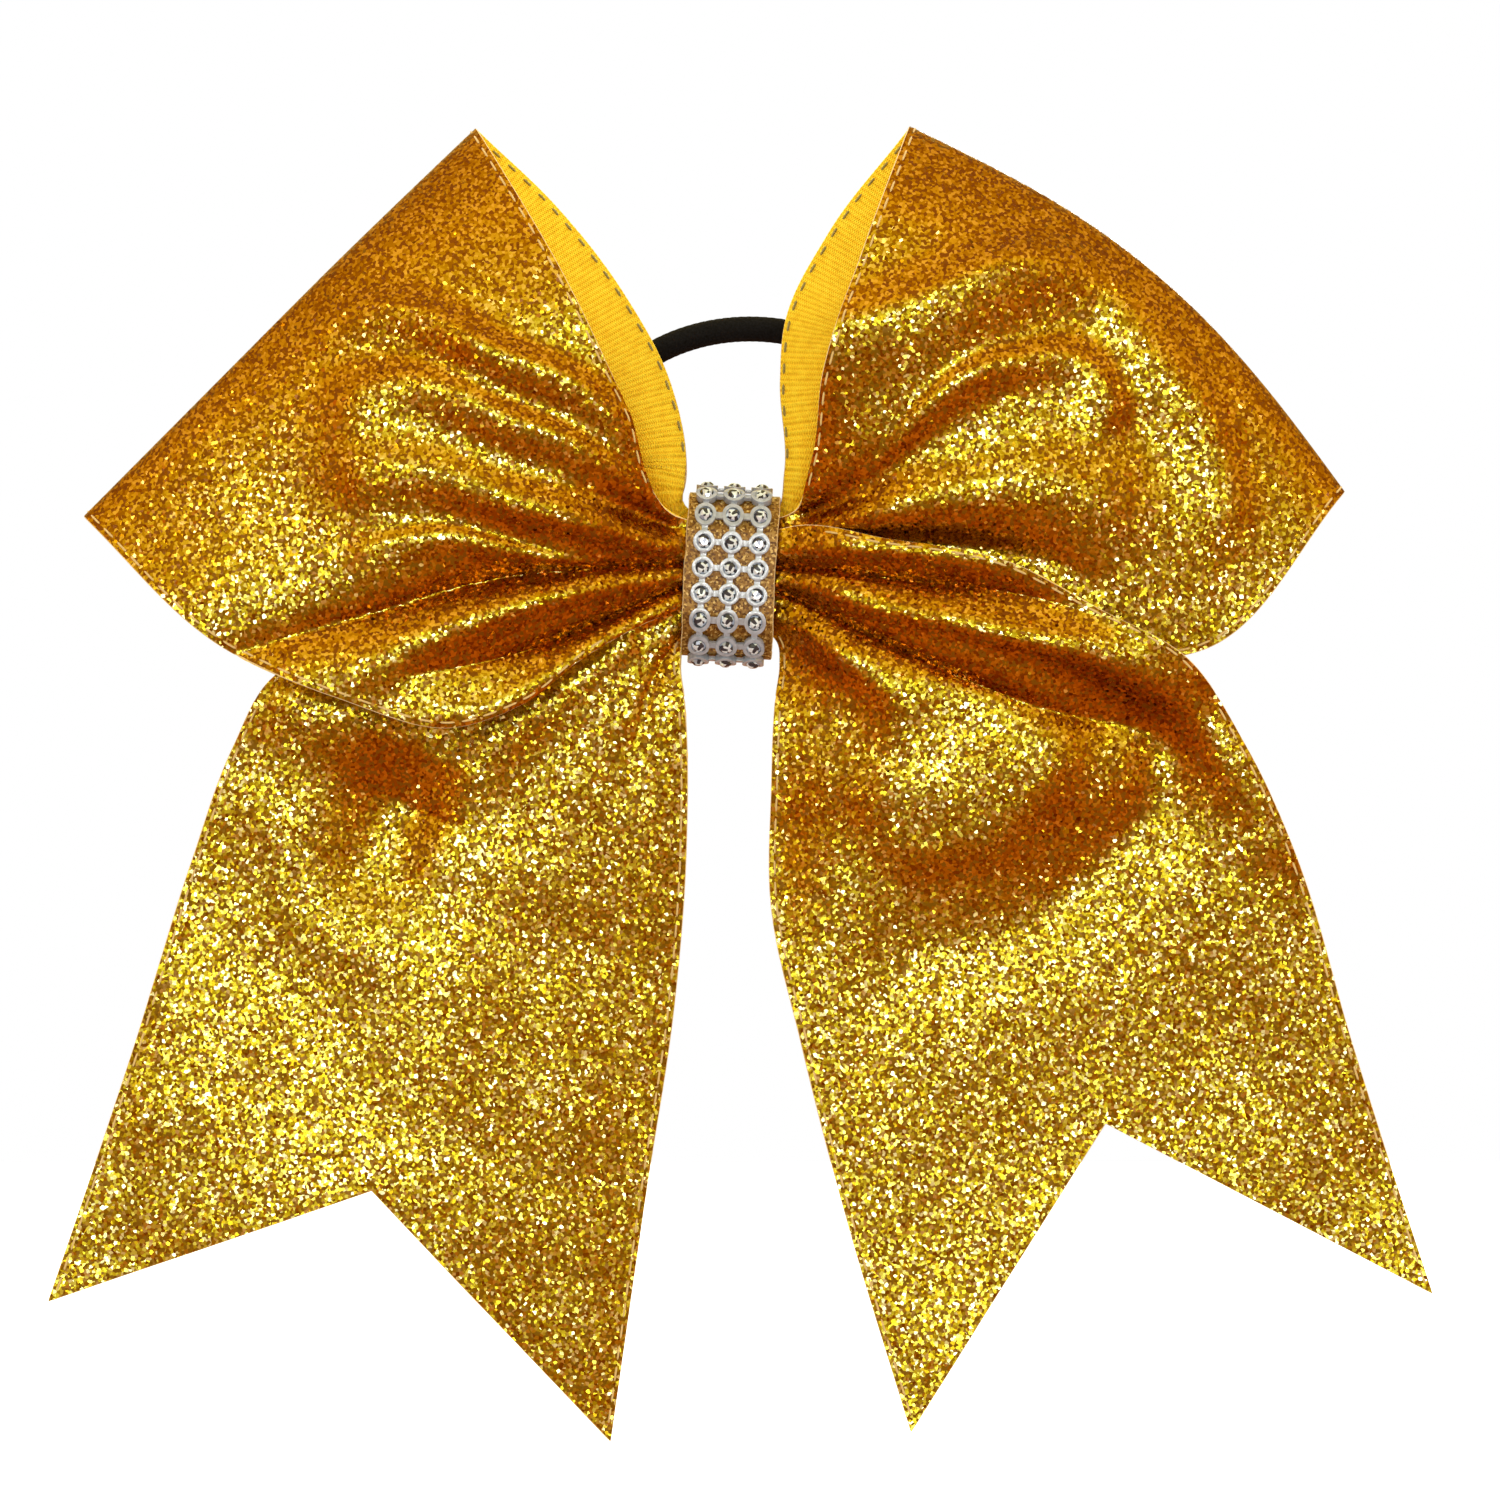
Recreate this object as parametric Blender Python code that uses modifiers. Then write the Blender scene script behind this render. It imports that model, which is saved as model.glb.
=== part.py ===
"""Cheer hair bow: one length of two-ply ribbon (glitter face, grosgrain backing) folded into two loops and two
swallow-cut tails, gathered in the middle and held by a wrap that carries a rhinestone net and traps a hair elastic.

Metres, +Z up. The bow faces -Y. The origin is the centre of the wrap's flat rear face.
"""

import math

import bmesh
import bpy
import numpy as np
from mathutils import Matrix, Vector

MM = 0.001

# two-ply ribbon: each ply lies either side of the ribbon's middle surface
PLY = 0.4 * MM
PLY_GAP = 0.3 * MM
PLY_OFFSET = (PLY + PLY_GAP) / 2
CREASE_HALF_GAP = 13 * MM
CREASE_BOW = 6.1 * MM
LOOP_SWAY = 3.5 * MM

# pleats across a loop, as a count and a depth, and how far the right loop's front gives way to the tail over it
FRONT_PLEATS = (2.5, 0.9 * MM)
BACK_PLEATS = (2, 0.5 * MM)
RIGHT_LOOP_YIELD = 5 * MM

# centre wrap: a band around a stadium-shaped tunnel, seen along X
KNOT_Y = -7.1 * MM
WRAP_WIDTH = 12.6 * MM
WRAP_RADIUS = 6.4 * MM
WRAP_HALF_STRAIGHT = 5.1 * MM
WRAP_TILT = math.radians(3)
WRAP_LAP_RISE = PLY + PLY_GAP
WRAP_START_Z = 3.5 * MM
WRAP_END_Z = 4.5 * MM
LINING_PLY = 0.35 * MM
LINING_CLEARANCE = 0.25 * MM
LINING_RADIUS = WRAP_RADIUS - PLY - LINING_CLEARANCE - LINING_PLY / 2
LINING_SEAM_HALF_GAP = 0.6 * MM

# rhinestone net on the wrap
ROW_PITCH = 3.6 * MM
COLUMN_PITCH = 3.86 * MM
FIRST_ROW = 15.24 * MM
ROWS = 10
COLUMNS = 3
CUP_RADIUS = 1.5 * MM
CUP_BORE = 1.15 * MM
CUP_BASE = 0.25 * MM
CUP_HEIGHT = 1.0 * MM
CUP_FLOOR = 0.35 * MM
CUP_SIDES = 8
BAR_WIDTH = 0.55 * MM
BAR_LOW = 0.4 * MM
BAR_HIGH = 0.85 * MM
CROSS_BAR_LIFT = 0.02 * MM
STONE_RADIUS = 0.85 * MM
STONE_TABLE = 0.5 * MM
STONE_HEIGHT = 0.55 * MM
STONE_GLUE = 0.3 * MM

# depth of the three ribbon layers where they enter the wrap, front to back
FRONT_Y = -10.7 * MM
MIDDLE_Y = -8.85 * MM
BACK_Y = -7.0 * MM
ROOT_X = 7.8 * MM
STRIP_HALF_WIDTH = 4.5 * MM
STRIP_PLEAT_DEPTH, STRIP_PLEAT_PITCH = 0.25 * MM, 3.6 * MM

# the tails' fold line, below the loops, and how far the tails curve below it
FOLD_Z = -24 * MM
LEFT_FOLD_Y = -11 * MM
RIGHT_FOLD_Y = -15 * MM
LEFT_HANG, LEFT_HANG_RUN = 4 * MM, 110 * MM
RIGHT_HANG, RIGHT_HANG_PITCH, RIGHT_HANG_START = 2.5 * MM, 34 * MM, 12 * MM

# above the fold line: where a tail turns forward, over what run, and how it leaves the knot's side
LEFT_TURN_Z, LEFT_TURN_RUN = -10 * MM, 11 * MM
LEFT_TUCK, LEFT_TUCK_RUN = 1.0 * MM, 12 * MM
RIGHT_TURN_Z, RIGHT_TURN_RUN = -8 * MM, 13 * MM
RIGHT_LIFT, RIGHT_LIFT_RUN = 8.3 * MM, 9 * MM
RIGHT_LIFT_X = ROOT_X - 1 * MM

# hair elastic
ELASTIC_RADIUS = 1.75 * MM
ELASTIC_BORE = 1.1 * MM
ELASTIC_CORE = 0.8 * MM
ELASTIC_X = 2.8 * MM
ELASTIC_Y = -3.65 * MM
ELASTIC_HALF_WIDTH = 23.1 * MM
ELASTIC_HALF_HEIGHT = 18.6 * MM
ELASTIC_LEAN = math.radians(12)
ELASTIC_FLAT = 0.9 * MM
ELASTIC_EASE = 0.25 * MM
ELASTIC_STATIONS = 37
ELASTIC_END_GAP, CORE_END_GAP, JOINT_LENGTH = 1.6 * MM, 1.9 * MM, 2.4 * MM

THREAD_RADIUS = 0.2 * MM
THREAD_LOOP_RADIUS = 5.08 * MM
THREAD_REAR_Y = -5.8 * MM

GLUE_SIZE = (5.4 * MM, 1.65 * MM, 2.8 * MM)
GLUE_Y, GLUE_Z = -3.6 * MM, 5.2 * MM

# outlines seen from the front, (x, z) in millimetres, each from the knot outwards
LEFT_LOOP = {
    "front_top": [(-7.8, 8.2), (-14.3, 22.7), (-22.5, 40.2), (-35.8, 63.1)],
    "front_low": [(-7.8, -4.2), (-19.6, -10.8), (-29.4, -18.3), (-37.8, -21.2), (-54.6, -17.1), (-69.9, -10.5),
                  (-90.4, 8.1)],
    "back_top": [(-7.8, 9.5), (-6.9, 14.7), (-8.7, 27.3), (-15.1, 39.9), (-24.8, 52.5), (-35.8, 63.1)],
    "back_low": [(-7.8, -6), (-35, -10), (-65, -8), (-90.4, 8.1)],
}
RIGHT_LOOP = {
    "front_top": [(7.8, 8), (11.5, 15.8), (13, 28), (18.2, 44), (25.2, 63.1)],
    "front_low": [(7.8, -4), (30, -8.5), (52, -12), (65.8, -10.5), (86, 11.6)],
    "back_top": [(7.8, 9), (7.7, 14.7), (7.2, 27.3), (7.9, 35.7), (13.9, 48.3), (25.2, 63.1)],
    "back_low": [(7.8, -6), (35, -9), (62, -9), (86, 11.6)],
}
LEFT_TAIL_TOP = {
    "inner": [(-7.8, -3), (-7.8, -11.6), (-6.5, -23.5)],
    "outer": [(-9.8, -1.5), (-30, -6), (-52, -9), (-64.3, -14.7), (-69.2, -23.5)],
}
LEFT_TAIL = {
    "inner": [(-6.4, -24.5), (-6.2, -38), (-8, -60.9), (-11.8, -86.1), (-16.9, -121.7)],
    "outer": [(-69.7, -24.5), (-75.3, -39.9), (-83, -65.1), (-95.2, -101.5)],
    "notch": (-50.1, -86.1),
}
RIGHT_TAIL_TOP = {
    "inner": [(7.8, 4.2), (7.8, -11.6), (6.4, -23.5)],
    "outer": [(9.8, 6.4), (21, 4.9), (39.2, 1.4), (51.8, -5.2), (63.7, -11.9), (71.6, -23.5)],
}
RIGHT_TAIL = {
    "inner": [(6.2, -24.5), (5.7, -44.1), (9.9, -65.1), (16.4, -90.3), (25.3, -119.7)],
    "outer": [(72.1, -24.5), (79.2, -39.9), (86.8, -65.1), (98.1, -100.4)],
    "notch": (52.5, -76.7),
}

COLOURS = {
    "glitter": ((0.62, 0.33, 0.03), 0.35, 0.8),
    "grosgrain": ((0.93, 0.55, 0.01), 0.8, 0.0),
    "silver": ((0.8, 0.81, 0.82), 0.15, 1.0),
    "stone": ((0.93, 0.95, 0.97), 0.05, 0.0),
    "black": ((0.012, 0.012, 0.014), 0.7, 0.0),
    "rubber": ((0.25, 0.22, 0.18), 0.6, 0.0),
    "thread": ((0.75, 0.6, 0.35), 0.7, 0.0),
    "glue": ((0.85, 0.78, 0.6), 0.2, 0.0),
}


def clear_scene():
    for thing in list(bpy.data.objects):
        bpy.data.objects.remove(thing)


def new_collection(name):
    collection = bpy.data.collections.new(name)
    bpy.context.scene.collection.children.link(collection)
    return collection


def material(name, look):
    colour, roughness, metallic = COLOURS[look]
    made = bpy.data.materials.new(name)
    made.use_nodes = True
    shader = made.node_tree.nodes["Principled BSDF"]
    shader.inputs["Base Color"].default_value = (*colour, 1)
    shader.inputs["Roughness"].default_value = roughness
    shader.inputs["Metallic"].default_value = metallic
    return made


def add(name, data, look, collection):
    made = bpy.data.objects.new(name, data)
    data.materials.append(material(name, look))
    collection.objects.link(made)
    return made


def smooth_step(value):
    value = np.clip(value, 0, 1)
    return value * value * (3 - 2 * value)


def along(outline, t):
    """Points at the fractions t of a smooth curve through an outline's points, in metres."""
    points = np.array(outline, float) * MM
    knots = np.concatenate([[0], np.cumsum(np.linalg.norm(np.diff(points, axis=0), axis=1))])
    slopes = np.gradient(points, knots, axis=0)
    s = np.clip(np.asarray(t, float), 0, 1) * knots[-1]
    k = np.clip(np.searchsorted(knots, s, side="right") - 1, 0, len(points) - 2)
    step = (knots[k + 1] - knots[k])[:, None]
    f = ((s - knots[k])[:, None]) / step
    return (
        points[k] * (2 * f**3 - 3 * f**2 + 1)
        + slopes[k] * step * (f**3 - 2 * f**2 + f)
        + points[k + 1] * (3 * f**2 - 2 * f**3)
        + slopes[k + 1] * step * (f**3 - f**2)
    )


def row_normals(grid):
    """One normal for each row of a grid, which keeps two plies apart where a gathered corner is nearly folded."""
    across, up = np.gradient(grid, axis=0), np.gradient(grid, axis=1)
    normals = np.cross(across, up).sum(axis=1, keepdims=True)
    return normals / np.linalg.norm(normals, axis=2, keepdims=True)


def sheet(name, grid, offset, thickness, look, collection):
    """A solid ply that lies at an offset along the normals of a grid of points."""
    shifted = grid + row_normals(grid) * offset
    rows, columns = grid.shape[:2]
    bm = bmesh.new()
    verts = [[bm.verts.new(p) for p in row] for row in shifted]
    for i in range(rows - 1):
        for j in range(columns - 1):
            a, b = verts[i][j], verts[i + 1][j]
            c, d = verts[i + 1][j + 1], verts[i][j + 1]
            bm.faces.new((a, b, c))
            bm.faces.new((a, c, d))
    mesh = bpy.data.meshes.new(name)
    bm.to_mesh(mesh)
    bm.free()
    made = add(name, mesh, look, collection)
    solidify = made.modifiers.new("ply", "SOLIDIFY")
    solidify.thickness = thickness
    solidify.offset = 0
    return made


def two_ply(name, grid, collection):
    """The ribbon's two plies over a middle surface whose front side at its first row faces -Y."""
    side = -np.sign(row_normals(grid)[0, 0, 1])
    for ply, sign in (("glitter", side), ("grosgrain", -side)):
        sheet(f"{name}_{ply}", grid, sign * PLY_OFFSET, PLY, ply, collection)


def pleats(u, v, count, depth):
    """Ridges that run out from the knot: strongest a quarter of the way out, gone at the far end."""
    return depth * 4 * u * np.exp(1 - 4 * u) * np.cos(2 * math.pi * count * v)


def loop_grid(outline, front_y, yields, bow, rows=25, columns=11):
    """The middle surface of a loop, from the knot along its front, round the crease and back along its rear."""
    w = np.linspace(-1, 1, rows)
    v = np.linspace(0, 1, columns)
    grid = np.zeros((rows, columns, 3))
    for i, place in enumerate(w):
        side = "front" if place < 0 else "back"
        a = abs(place)
        u = 1 - a * a
        low = along(outline[side + "_low"], [u])[0]
        top = along(outline[side + "_top"], [u])[0]
        flat = low + (top - low) * v[:, None]
        flat += np.outer(np.sin(math.pi * v), bow) * u * u
        sway = np.sin(math.pi * u)
        centre = MIDDLE_Y - LOOP_SWAY * sway
        if side == "front":
            gap = CREASE_HALF_GAP * a * (1 - a**4) + (MIDDLE_Y - front_y) * a**5
            depth = centre - gap - pleats(u, v, *FRONT_PLEATS) + yields * (1 - v) ** 2 * sway
        else:
            gap = CREASE_HALF_GAP * a * (1 - a**3) + (BACK_Y - MIDDLE_Y) * a**5
            depth = centre + gap + pleats(u, v, *BACK_PLEATS)
        grid[i, :, 0], grid[i, :, 1], grid[i, :, 2] = flat[:, 0], depth, flat[:, 1]
    return grid


def panel_grid(outline, depth_at, rows, columns):
    """A tail panel between its inner and outer edges, with a swallow cut where the outline has a notch."""
    u = np.linspace(0, 1, rows)
    inner, outer = along(outline["inner"], u), along(outline["outer"], u)
    if "notch" in outline:
        notch = np.array(outline["notch"]) * MM
        cut_line = outer[-1] - inner[-1]
        at = (notch - inner[-1])[0] / cut_line[0]
        first = max(2, round(at * (columns - 1)))
        v = np.concatenate([np.linspace(0, at, first + 1), np.linspace(at, 1, columns - first)[1:]])
        lift = notch - inner[-1] - cut_line * at
        tent = np.minimum(v / at, (1 - v) / (1 - at))
    else:
        v = np.linspace(0, 1, columns)
        lift, tent = np.zeros(2), np.zeros(columns)
    grid = np.zeros((rows, columns, 3))
    for i in range(rows):
        flat = inner[i] + (outer[i] - inner[i]) * v[:, None]
        flat += tent[:, None] * lift * u[i] ** 1.5
        grid[i, :, 0], grid[i, :, 2] = flat[:, 0], flat[:, 1]
        grid[i, :, 1] = depth_at(flat[:, 0], flat[:, 1])
    return grid


def left_tail_depth(x, z):
    below = smooth_step((LEFT_TURN_Z - z) / LEFT_TURN_RUN)
    hidden = MIDDLE_Y - LEFT_TUCK * smooth_step((-x - ROOT_X) / LEFT_TUCK_RUN)
    hang = LEFT_FOLD_Y - LEFT_HANG * smooth_step((FOLD_Z - z) / LEFT_HANG_RUN)
    return np.where(z > FOLD_Z, hidden + (LEFT_FOLD_Y - hidden) * below, hang)


def right_tail_depth(x, z):
    below = smooth_step((RIGHT_TURN_Z - z) / RIGHT_TURN_RUN)
    over = FRONT_Y - RIGHT_LIFT * smooth_step((x - RIGHT_LIFT_X) / RIGHT_LIFT_RUN)
    wave = np.sin((FOLD_Z - z) / RIGHT_HANG_PITCH) * smooth_step((FOLD_Z - z) / RIGHT_HANG_START)
    hang = RIGHT_FOLD_Y + RIGHT_HANG * wave
    return np.where(z > FOLD_Z, over + (RIGHT_FOLD_Y - over) * below, hang)


def ribbon(collection):
    bow = CREASE_BOW * np.array((0.646, 0.763))
    two_ply("left_loop", loop_grid(LEFT_LOOP, FRONT_Y, 0, np.zeros(2)), collection)
    two_ply("right_loop", loop_grid(RIGHT_LOOP, MIDDLE_Y, RIGHT_LOOP_YIELD, bow), collection)
    two_ply("left_tail_top", panel_grid(LEFT_TAIL_TOP, left_tail_depth, 10, 8), collection)
    two_ply("left_tail", panel_grid(LEFT_TAIL, left_tail_depth, 11, 9), collection)
    two_ply("right_tail_top", panel_grid(RIGHT_TAIL_TOP, right_tail_depth, 10, 8), collection)
    two_ply("right_tail", panel_grid(RIGHT_TAIL, right_tail_depth, 11, 9), collection)


def gathered_strips(collection):
    """The three passes of the ribbon inside the wrap, pleated so that they nest."""
    passes = (
        ("gathered_front", FRONT_Y, (-3.4, 6.8), (-6.8, 5.6)),
        ("gathered_middle", MIDDLE_Y, (-8.8, 0), (-3, 8.6)),
        ("gathered_back", BACK_Y, (-5.4, 9.2), (-5.6, 8.8)),
    )
    for name, y, left, right in passes:
        x = np.linspace(-STRIP_HALF_WIDTH, STRIP_HALF_WIDTH, 4)
        v = np.linspace(0, 1, 17)
        grid = np.zeros((len(x), len(v), 3))
        for i, place in enumerate(x):
            share = (place + STRIP_HALF_WIDTH) / (2 * STRIP_HALF_WIDTH)
            low, top = (1 - share) * np.array(left) * MM + share * np.array(right) * MM
            z = low + (top - low) * v
            grid[i, :, 0], grid[i, :, 2] = place, z
            grid[i, :, 1] = y + STRIP_PLEAT_DEPTH * np.cos(2 * math.pi * z / STRIP_PLEAT_PITCH)
        strip = sheet(name, grid, 0, 2 * PLY + PLY_GAP, "glitter", collection)
        strip.rotation_euler[1] = WRAP_TILT


def around(s, radius):
    """The (y, z) place and outward normal at an arc length s from the front's centre, up being positive."""
    side = 1 if s >= 0 else -1
    run = abs(s)
    turn = math.pi * WRAP_RADIUS
    if run <= WRAP_HALF_STRAIGHT:
        place, normal = (KNOT_Y - radius, s), (-1, 0)
    elif run <= WRAP_HALF_STRAIGHT + turn:
        angle = (run - WRAP_HALF_STRAIGHT) / WRAP_RADIUS
        normal = (-math.cos(angle), side * math.sin(angle))
        place = (KNOT_Y + radius * normal[0], side * WRAP_HALF_STRAIGHT + radius * normal[1])
    else:
        left_over = run - WRAP_HALF_STRAIGHT - turn
        place, normal = (KNOT_Y + radius, side * (WRAP_HALF_STRAIGHT - left_over)), (1, 0)
    return Vector(place), Vector(normal)


def band(name, stations, radius_at, thickness, look, collection):
    """A strip of cloth along stations around the knot."""
    grid = np.zeros((len(stations), 2, 3))
    for i, s in enumerate(stations):
        place, _ = around(s, radius_at(s))
        for j, x in enumerate((-WRAP_WIDTH / 2, WRAP_WIDTH / 2)):
            grid[i, j] = (x, place[0], place[1])
    made = sheet(name, grid, 0, thickness, look, collection)
    made.rotation_euler[1] = WRAP_TILT
    return made


def centre_wrap(collection):
    turn = math.pi * WRAP_RADIUS
    arc = np.linspace(0, turn, 11)
    corner = WRAP_HALF_STRAIGHT + turn
    climb = 0.4 * turn

    def radius_at(s):
        return WRAP_RADIUS - PLY / 2 + WRAP_LAP_RISE * smooth_step((s - corner + climb) / climb)

    start = -(corner + WRAP_HALF_STRAIGHT + WRAP_START_Z)
    end = corner + WRAP_HALF_STRAIGHT + WRAP_END_Z
    stations = [start, *(-WRAP_HALF_STRAIGHT - arc[::-1]), *(WRAP_HALF_STRAIGHT + arc), end]
    band("centre_wrap", stations, radius_at, PLY, "glitter", collection)

    seam = corner + WRAP_HALF_STRAIGHT - LINING_SEAM_HALF_GAP
    stations = [-seam, *(-WRAP_HALF_STRAIGHT - arc[::-1]), *(WRAP_HALF_STRAIGHT + arc), seam]
    band("wrap_lining", stations, lambda s: LINING_RADIUS, LINING_PLY, "grosgrain", collection)


def boxes_and_cups(name, shapes, collection):
    """A cutter or operand object: separate boxes and prisms, (kind, centre, size) each, in the net's flat plane."""
    bm = bmesh.new()
    for kind, centre, size in shapes:
        at = Matrix.Translation(centre)
        if kind == "box":
            bmesh.ops.create_cube(bm, size=1, matrix=at @ Matrix.Diagonal((*size, 1)))
        else:
            bmesh.ops.create_cone(bm, cap_ends=True, segments=CUP_SIDES, radius1=size[0], radius2=size[0],
                                  depth=size[2], matrix=at @ Matrix.Rotation(math.pi / CUP_SIDES, 4, "Z"))
    mesh = bpy.data.meshes.new(name)
    bm.to_mesh(mesh)
    bm.free()
    made = bpy.data.objects.new(name, mesh)
    made.hide_render = True
    made.display_type = "WIRE"
    collection.objects.link(made)
    return made


def stone_places():
    for row in range(ROWS):
        for column in range(COLUMNS):
            yield row, column, FIRST_ROW - row * ROW_PITCH, (column - 1) * COLUMN_PITCH


def rhinestone_net(collection, cutters):
    """The net is cut out flat, (x, arc length, height), and then laid around the wrap."""
    last = FIRST_ROW - (ROWS - 1) * ROW_PITCH
    middle, length = (FIRST_ROW + last) / 2, FIRST_ROW - last
    bar_centre, bar_height = (BAR_LOW + BAR_HIGH) / 2, BAR_HIGH - BAR_LOW
    long_bars = [("box", (i * COLUMN_PITCH, middle, bar_centre), (BAR_WIDTH, length, bar_height)) for i in (-1, 0, 1)]
    cross_bars = [("box", (0, FIRST_ROW - row * ROW_PITCH, bar_centre + CROSS_BAR_LIFT),
                   (2 * COLUMN_PITCH, BAR_WIDTH, bar_height)) for row in range(ROWS)]
    cups, bores = [], []
    for _, _, s, x in stone_places():
        cups.append(("cup", (x, s, CUP_BASE + CUP_HEIGHT / 2), (CUP_RADIUS, 0, CUP_HEIGHT)))
        bores.append(("cup", (x, s, CUP_BASE + CUP_FLOOR + CUP_HEIGHT / 2), (CUP_BORE, 0, CUP_HEIGHT)))
    flat = boxes_and_cups("net_cups", cups, cutters)
    steps = (("net_long_bars", long_bars, "UNION"), ("net_cross_bars", cross_bars, "UNION"),
             ("net_bores", bores, "DIFFERENCE"))
    for name, shapes, operation in steps:
        cut = flat.modifiers.new(name, "BOOLEAN")
        cut.object = boxes_and_cups(name, shapes, cutters)
        cut.operation = operation
    evaluated = flat.evaluated_get(bpy.context.evaluated_depsgraph_get())
    mesh = bpy.data.meshes.new_from_object(evaluated)
    for vert in mesh.vertices:
        x, s, height = vert.co
        place, normal = around(s, WRAP_RADIUS)
        y, z = place + normal * height
        vert.co = (x, y, z)
    net = add("rhinestone_net", mesh, "silver", collection)
    net.rotation_euler[1] = WRAP_TILT


def rhinestones(collection):
    floor = CUP_BASE + CUP_FLOOR + STONE_GLUE
    for row, column, s, x in stone_places():
        place, normal = around(s, WRAP_RADIUS)
        y, z = place + normal * (floor + STONE_HEIGHT / 2)
        up = Vector((0, normal[0], normal[1]))
        at = Matrix.Translation((x, y, z)) @ up.to_track_quat("Z", "X").to_matrix().to_4x4()
        bm = bmesh.new()
        bmesh.ops.create_cone(bm, cap_ends=True, segments=8, radius1=STONE_RADIUS, radius2=STONE_TABLE,
                              depth=STONE_HEIGHT, matrix=at)
        mesh = bpy.data.meshes.new("stone")
        bm.to_mesh(mesh)
        bm.free()
        stone = add(f"rhinestone_{row + 1}_{column + 1}", mesh, "stone", collection)
        stone.rotation_euler[1] = WRAP_TILT


def elastic_path(gap):
    """Points round the elastic from the joint, which sits inside the wrap, leaving a gap either side of it."""
    points = []
    clear = gap / ELASTIC_HALF_WIDTH
    for angle in np.linspace(clear, 2 * math.pi - clear, ELASTIC_STATIONS):
        x = ELASTIC_HALF_WIDTH * math.sin(angle)
        rise = ELASTIC_HALF_HEIGHT * (1 - math.cos(angle)) - ELASTIC_FLAT
        rise = (rise + math.sqrt(rise * rise + ELASTIC_EASE**2)) / 2
        sideways = ELASTIC_X * min(1, rise / ELASTIC_HALF_HEIGHT)
        points.append((x + sideways, ELASTIC_Y + rise * math.sin(ELASTIC_LEAN), rise * math.cos(ELASTIC_LEAN)))
    return points


def tube(name, points, radius, sides_level, caps, cyclic, look, collection):
    curve = bpy.data.curves.new(name, "CURVE")
    curve.dimensions = "3D"
    curve.bevel_depth = radius
    curve.bevel_resolution = sides_level
    curve.use_fill_caps = caps
    spline = curve.splines.new("POLY")
    spline.points.add(len(points) - 1)
    for point, place in zip(spline.points, points):
        point.co = (*place, 1)
    spline.use_cyclic_u = cyclic
    return add(name, curve, look, collection)


def hair_elastic(collection):
    wire = tube("elastic_wire", elastic_path(ELASTIC_END_GAP), ELASTIC_RADIUS, 2, False, False, "black", collection)
    evaluated = wire.evaluated_get(bpy.context.evaluated_depsgraph_get())
    mesh = bpy.data.meshes.new_from_object(evaluated)
    bpy.data.objects.remove(wire)
    cover = add("elastic_cover", mesh, "black", collection)
    wall = cover.modifiers.new("wall", "SOLIDIFY")
    wall.thickness = ELASTIC_RADIUS - ELASTIC_BORE
    wall.offset = -1
    tube("elastic_core", elastic_path(CORE_END_GAP), ELASTIC_CORE, 1, True, False, "rubber", collection)
    bpy.ops.mesh.primitive_cylinder_add(vertices=10, radius=ELASTIC_RADIUS, depth=JOINT_LENGTH,
                                        location=(0, ELASTIC_Y, 0), rotation=(0, math.pi / 2, 0))
    joint = bpy.context.object
    joint.name = "elastic_joint"
    joint.data.materials.append(material("elastic_joint", "black"))
    for holder in list(joint.users_collection):
        holder.objects.unlink(joint)
    collection.objects.link(joint)


def gathering_thread(collection):
    """One loop of thread that ties the three passes, round at the front and flat behind."""
    corner = THREAD_REAR_Y - KNOT_Y
    half = []
    for angle in np.linspace(0, math.pi / 2, 7):
        half.append((KNOT_Y - THREAD_LOOP_RADIUS * math.cos(angle),
                     WRAP_HALF_STRAIGHT + THREAD_LOOP_RADIUS * math.sin(angle)))
    top = WRAP_HALF_STRAIGHT + THREAD_LOOP_RADIUS
    for angle in np.linspace(0, math.pi / 2, 4)[1:]:
        half.append((KNOT_Y + corner * math.sin(angle), top - corner * (1 - math.cos(angle))))
    outline = half + [(y, -z) for y, z in reversed(half)]
    thread = tube("gathering_thread", [(0, y, z) for y, z in outline], THREAD_RADIUS, 1, False, True, "thread",
                  collection)
    thread.rotation_euler[1] = WRAP_TILT


def glue_beads(collection):
    for name, z in (("glue_bead_upper", GLUE_Z), ("glue_bead_lower", -GLUE_Z)):
        bm = bmesh.new()
        size = Matrix.Diagonal((*GLUE_SIZE, 1))
        bmesh.ops.create_uvsphere(bm, u_segments=10, v_segments=6, radius=1,
                                  matrix=Matrix.Translation((0, GLUE_Y, z)) @ size)
        mesh = bpy.data.meshes.new(name)
        bm.to_mesh(mesh)
        bm.free()
        add(name, mesh, "glue", collection)


def build():
    clear_scene()
    bow = new_collection("cheer_hair_bow")
    cutters = new_collection("cutters")
    ribbon(bow)
    gathered_strips(bow)
    centre_wrap(bow)
    rhinestone_net(bow, cutters)
    rhinestones(bow)
    hair_elastic(bow)
    gathering_thread(bow)
    glue_beads(bow)


build()
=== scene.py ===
"""Looks of the cheer hair bow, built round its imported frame. Metres, +Z up, the bow faces -Y."""

import math

import bmesh
import bpy
import numpy as np
from mathutils import Matrix, Vector


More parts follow.
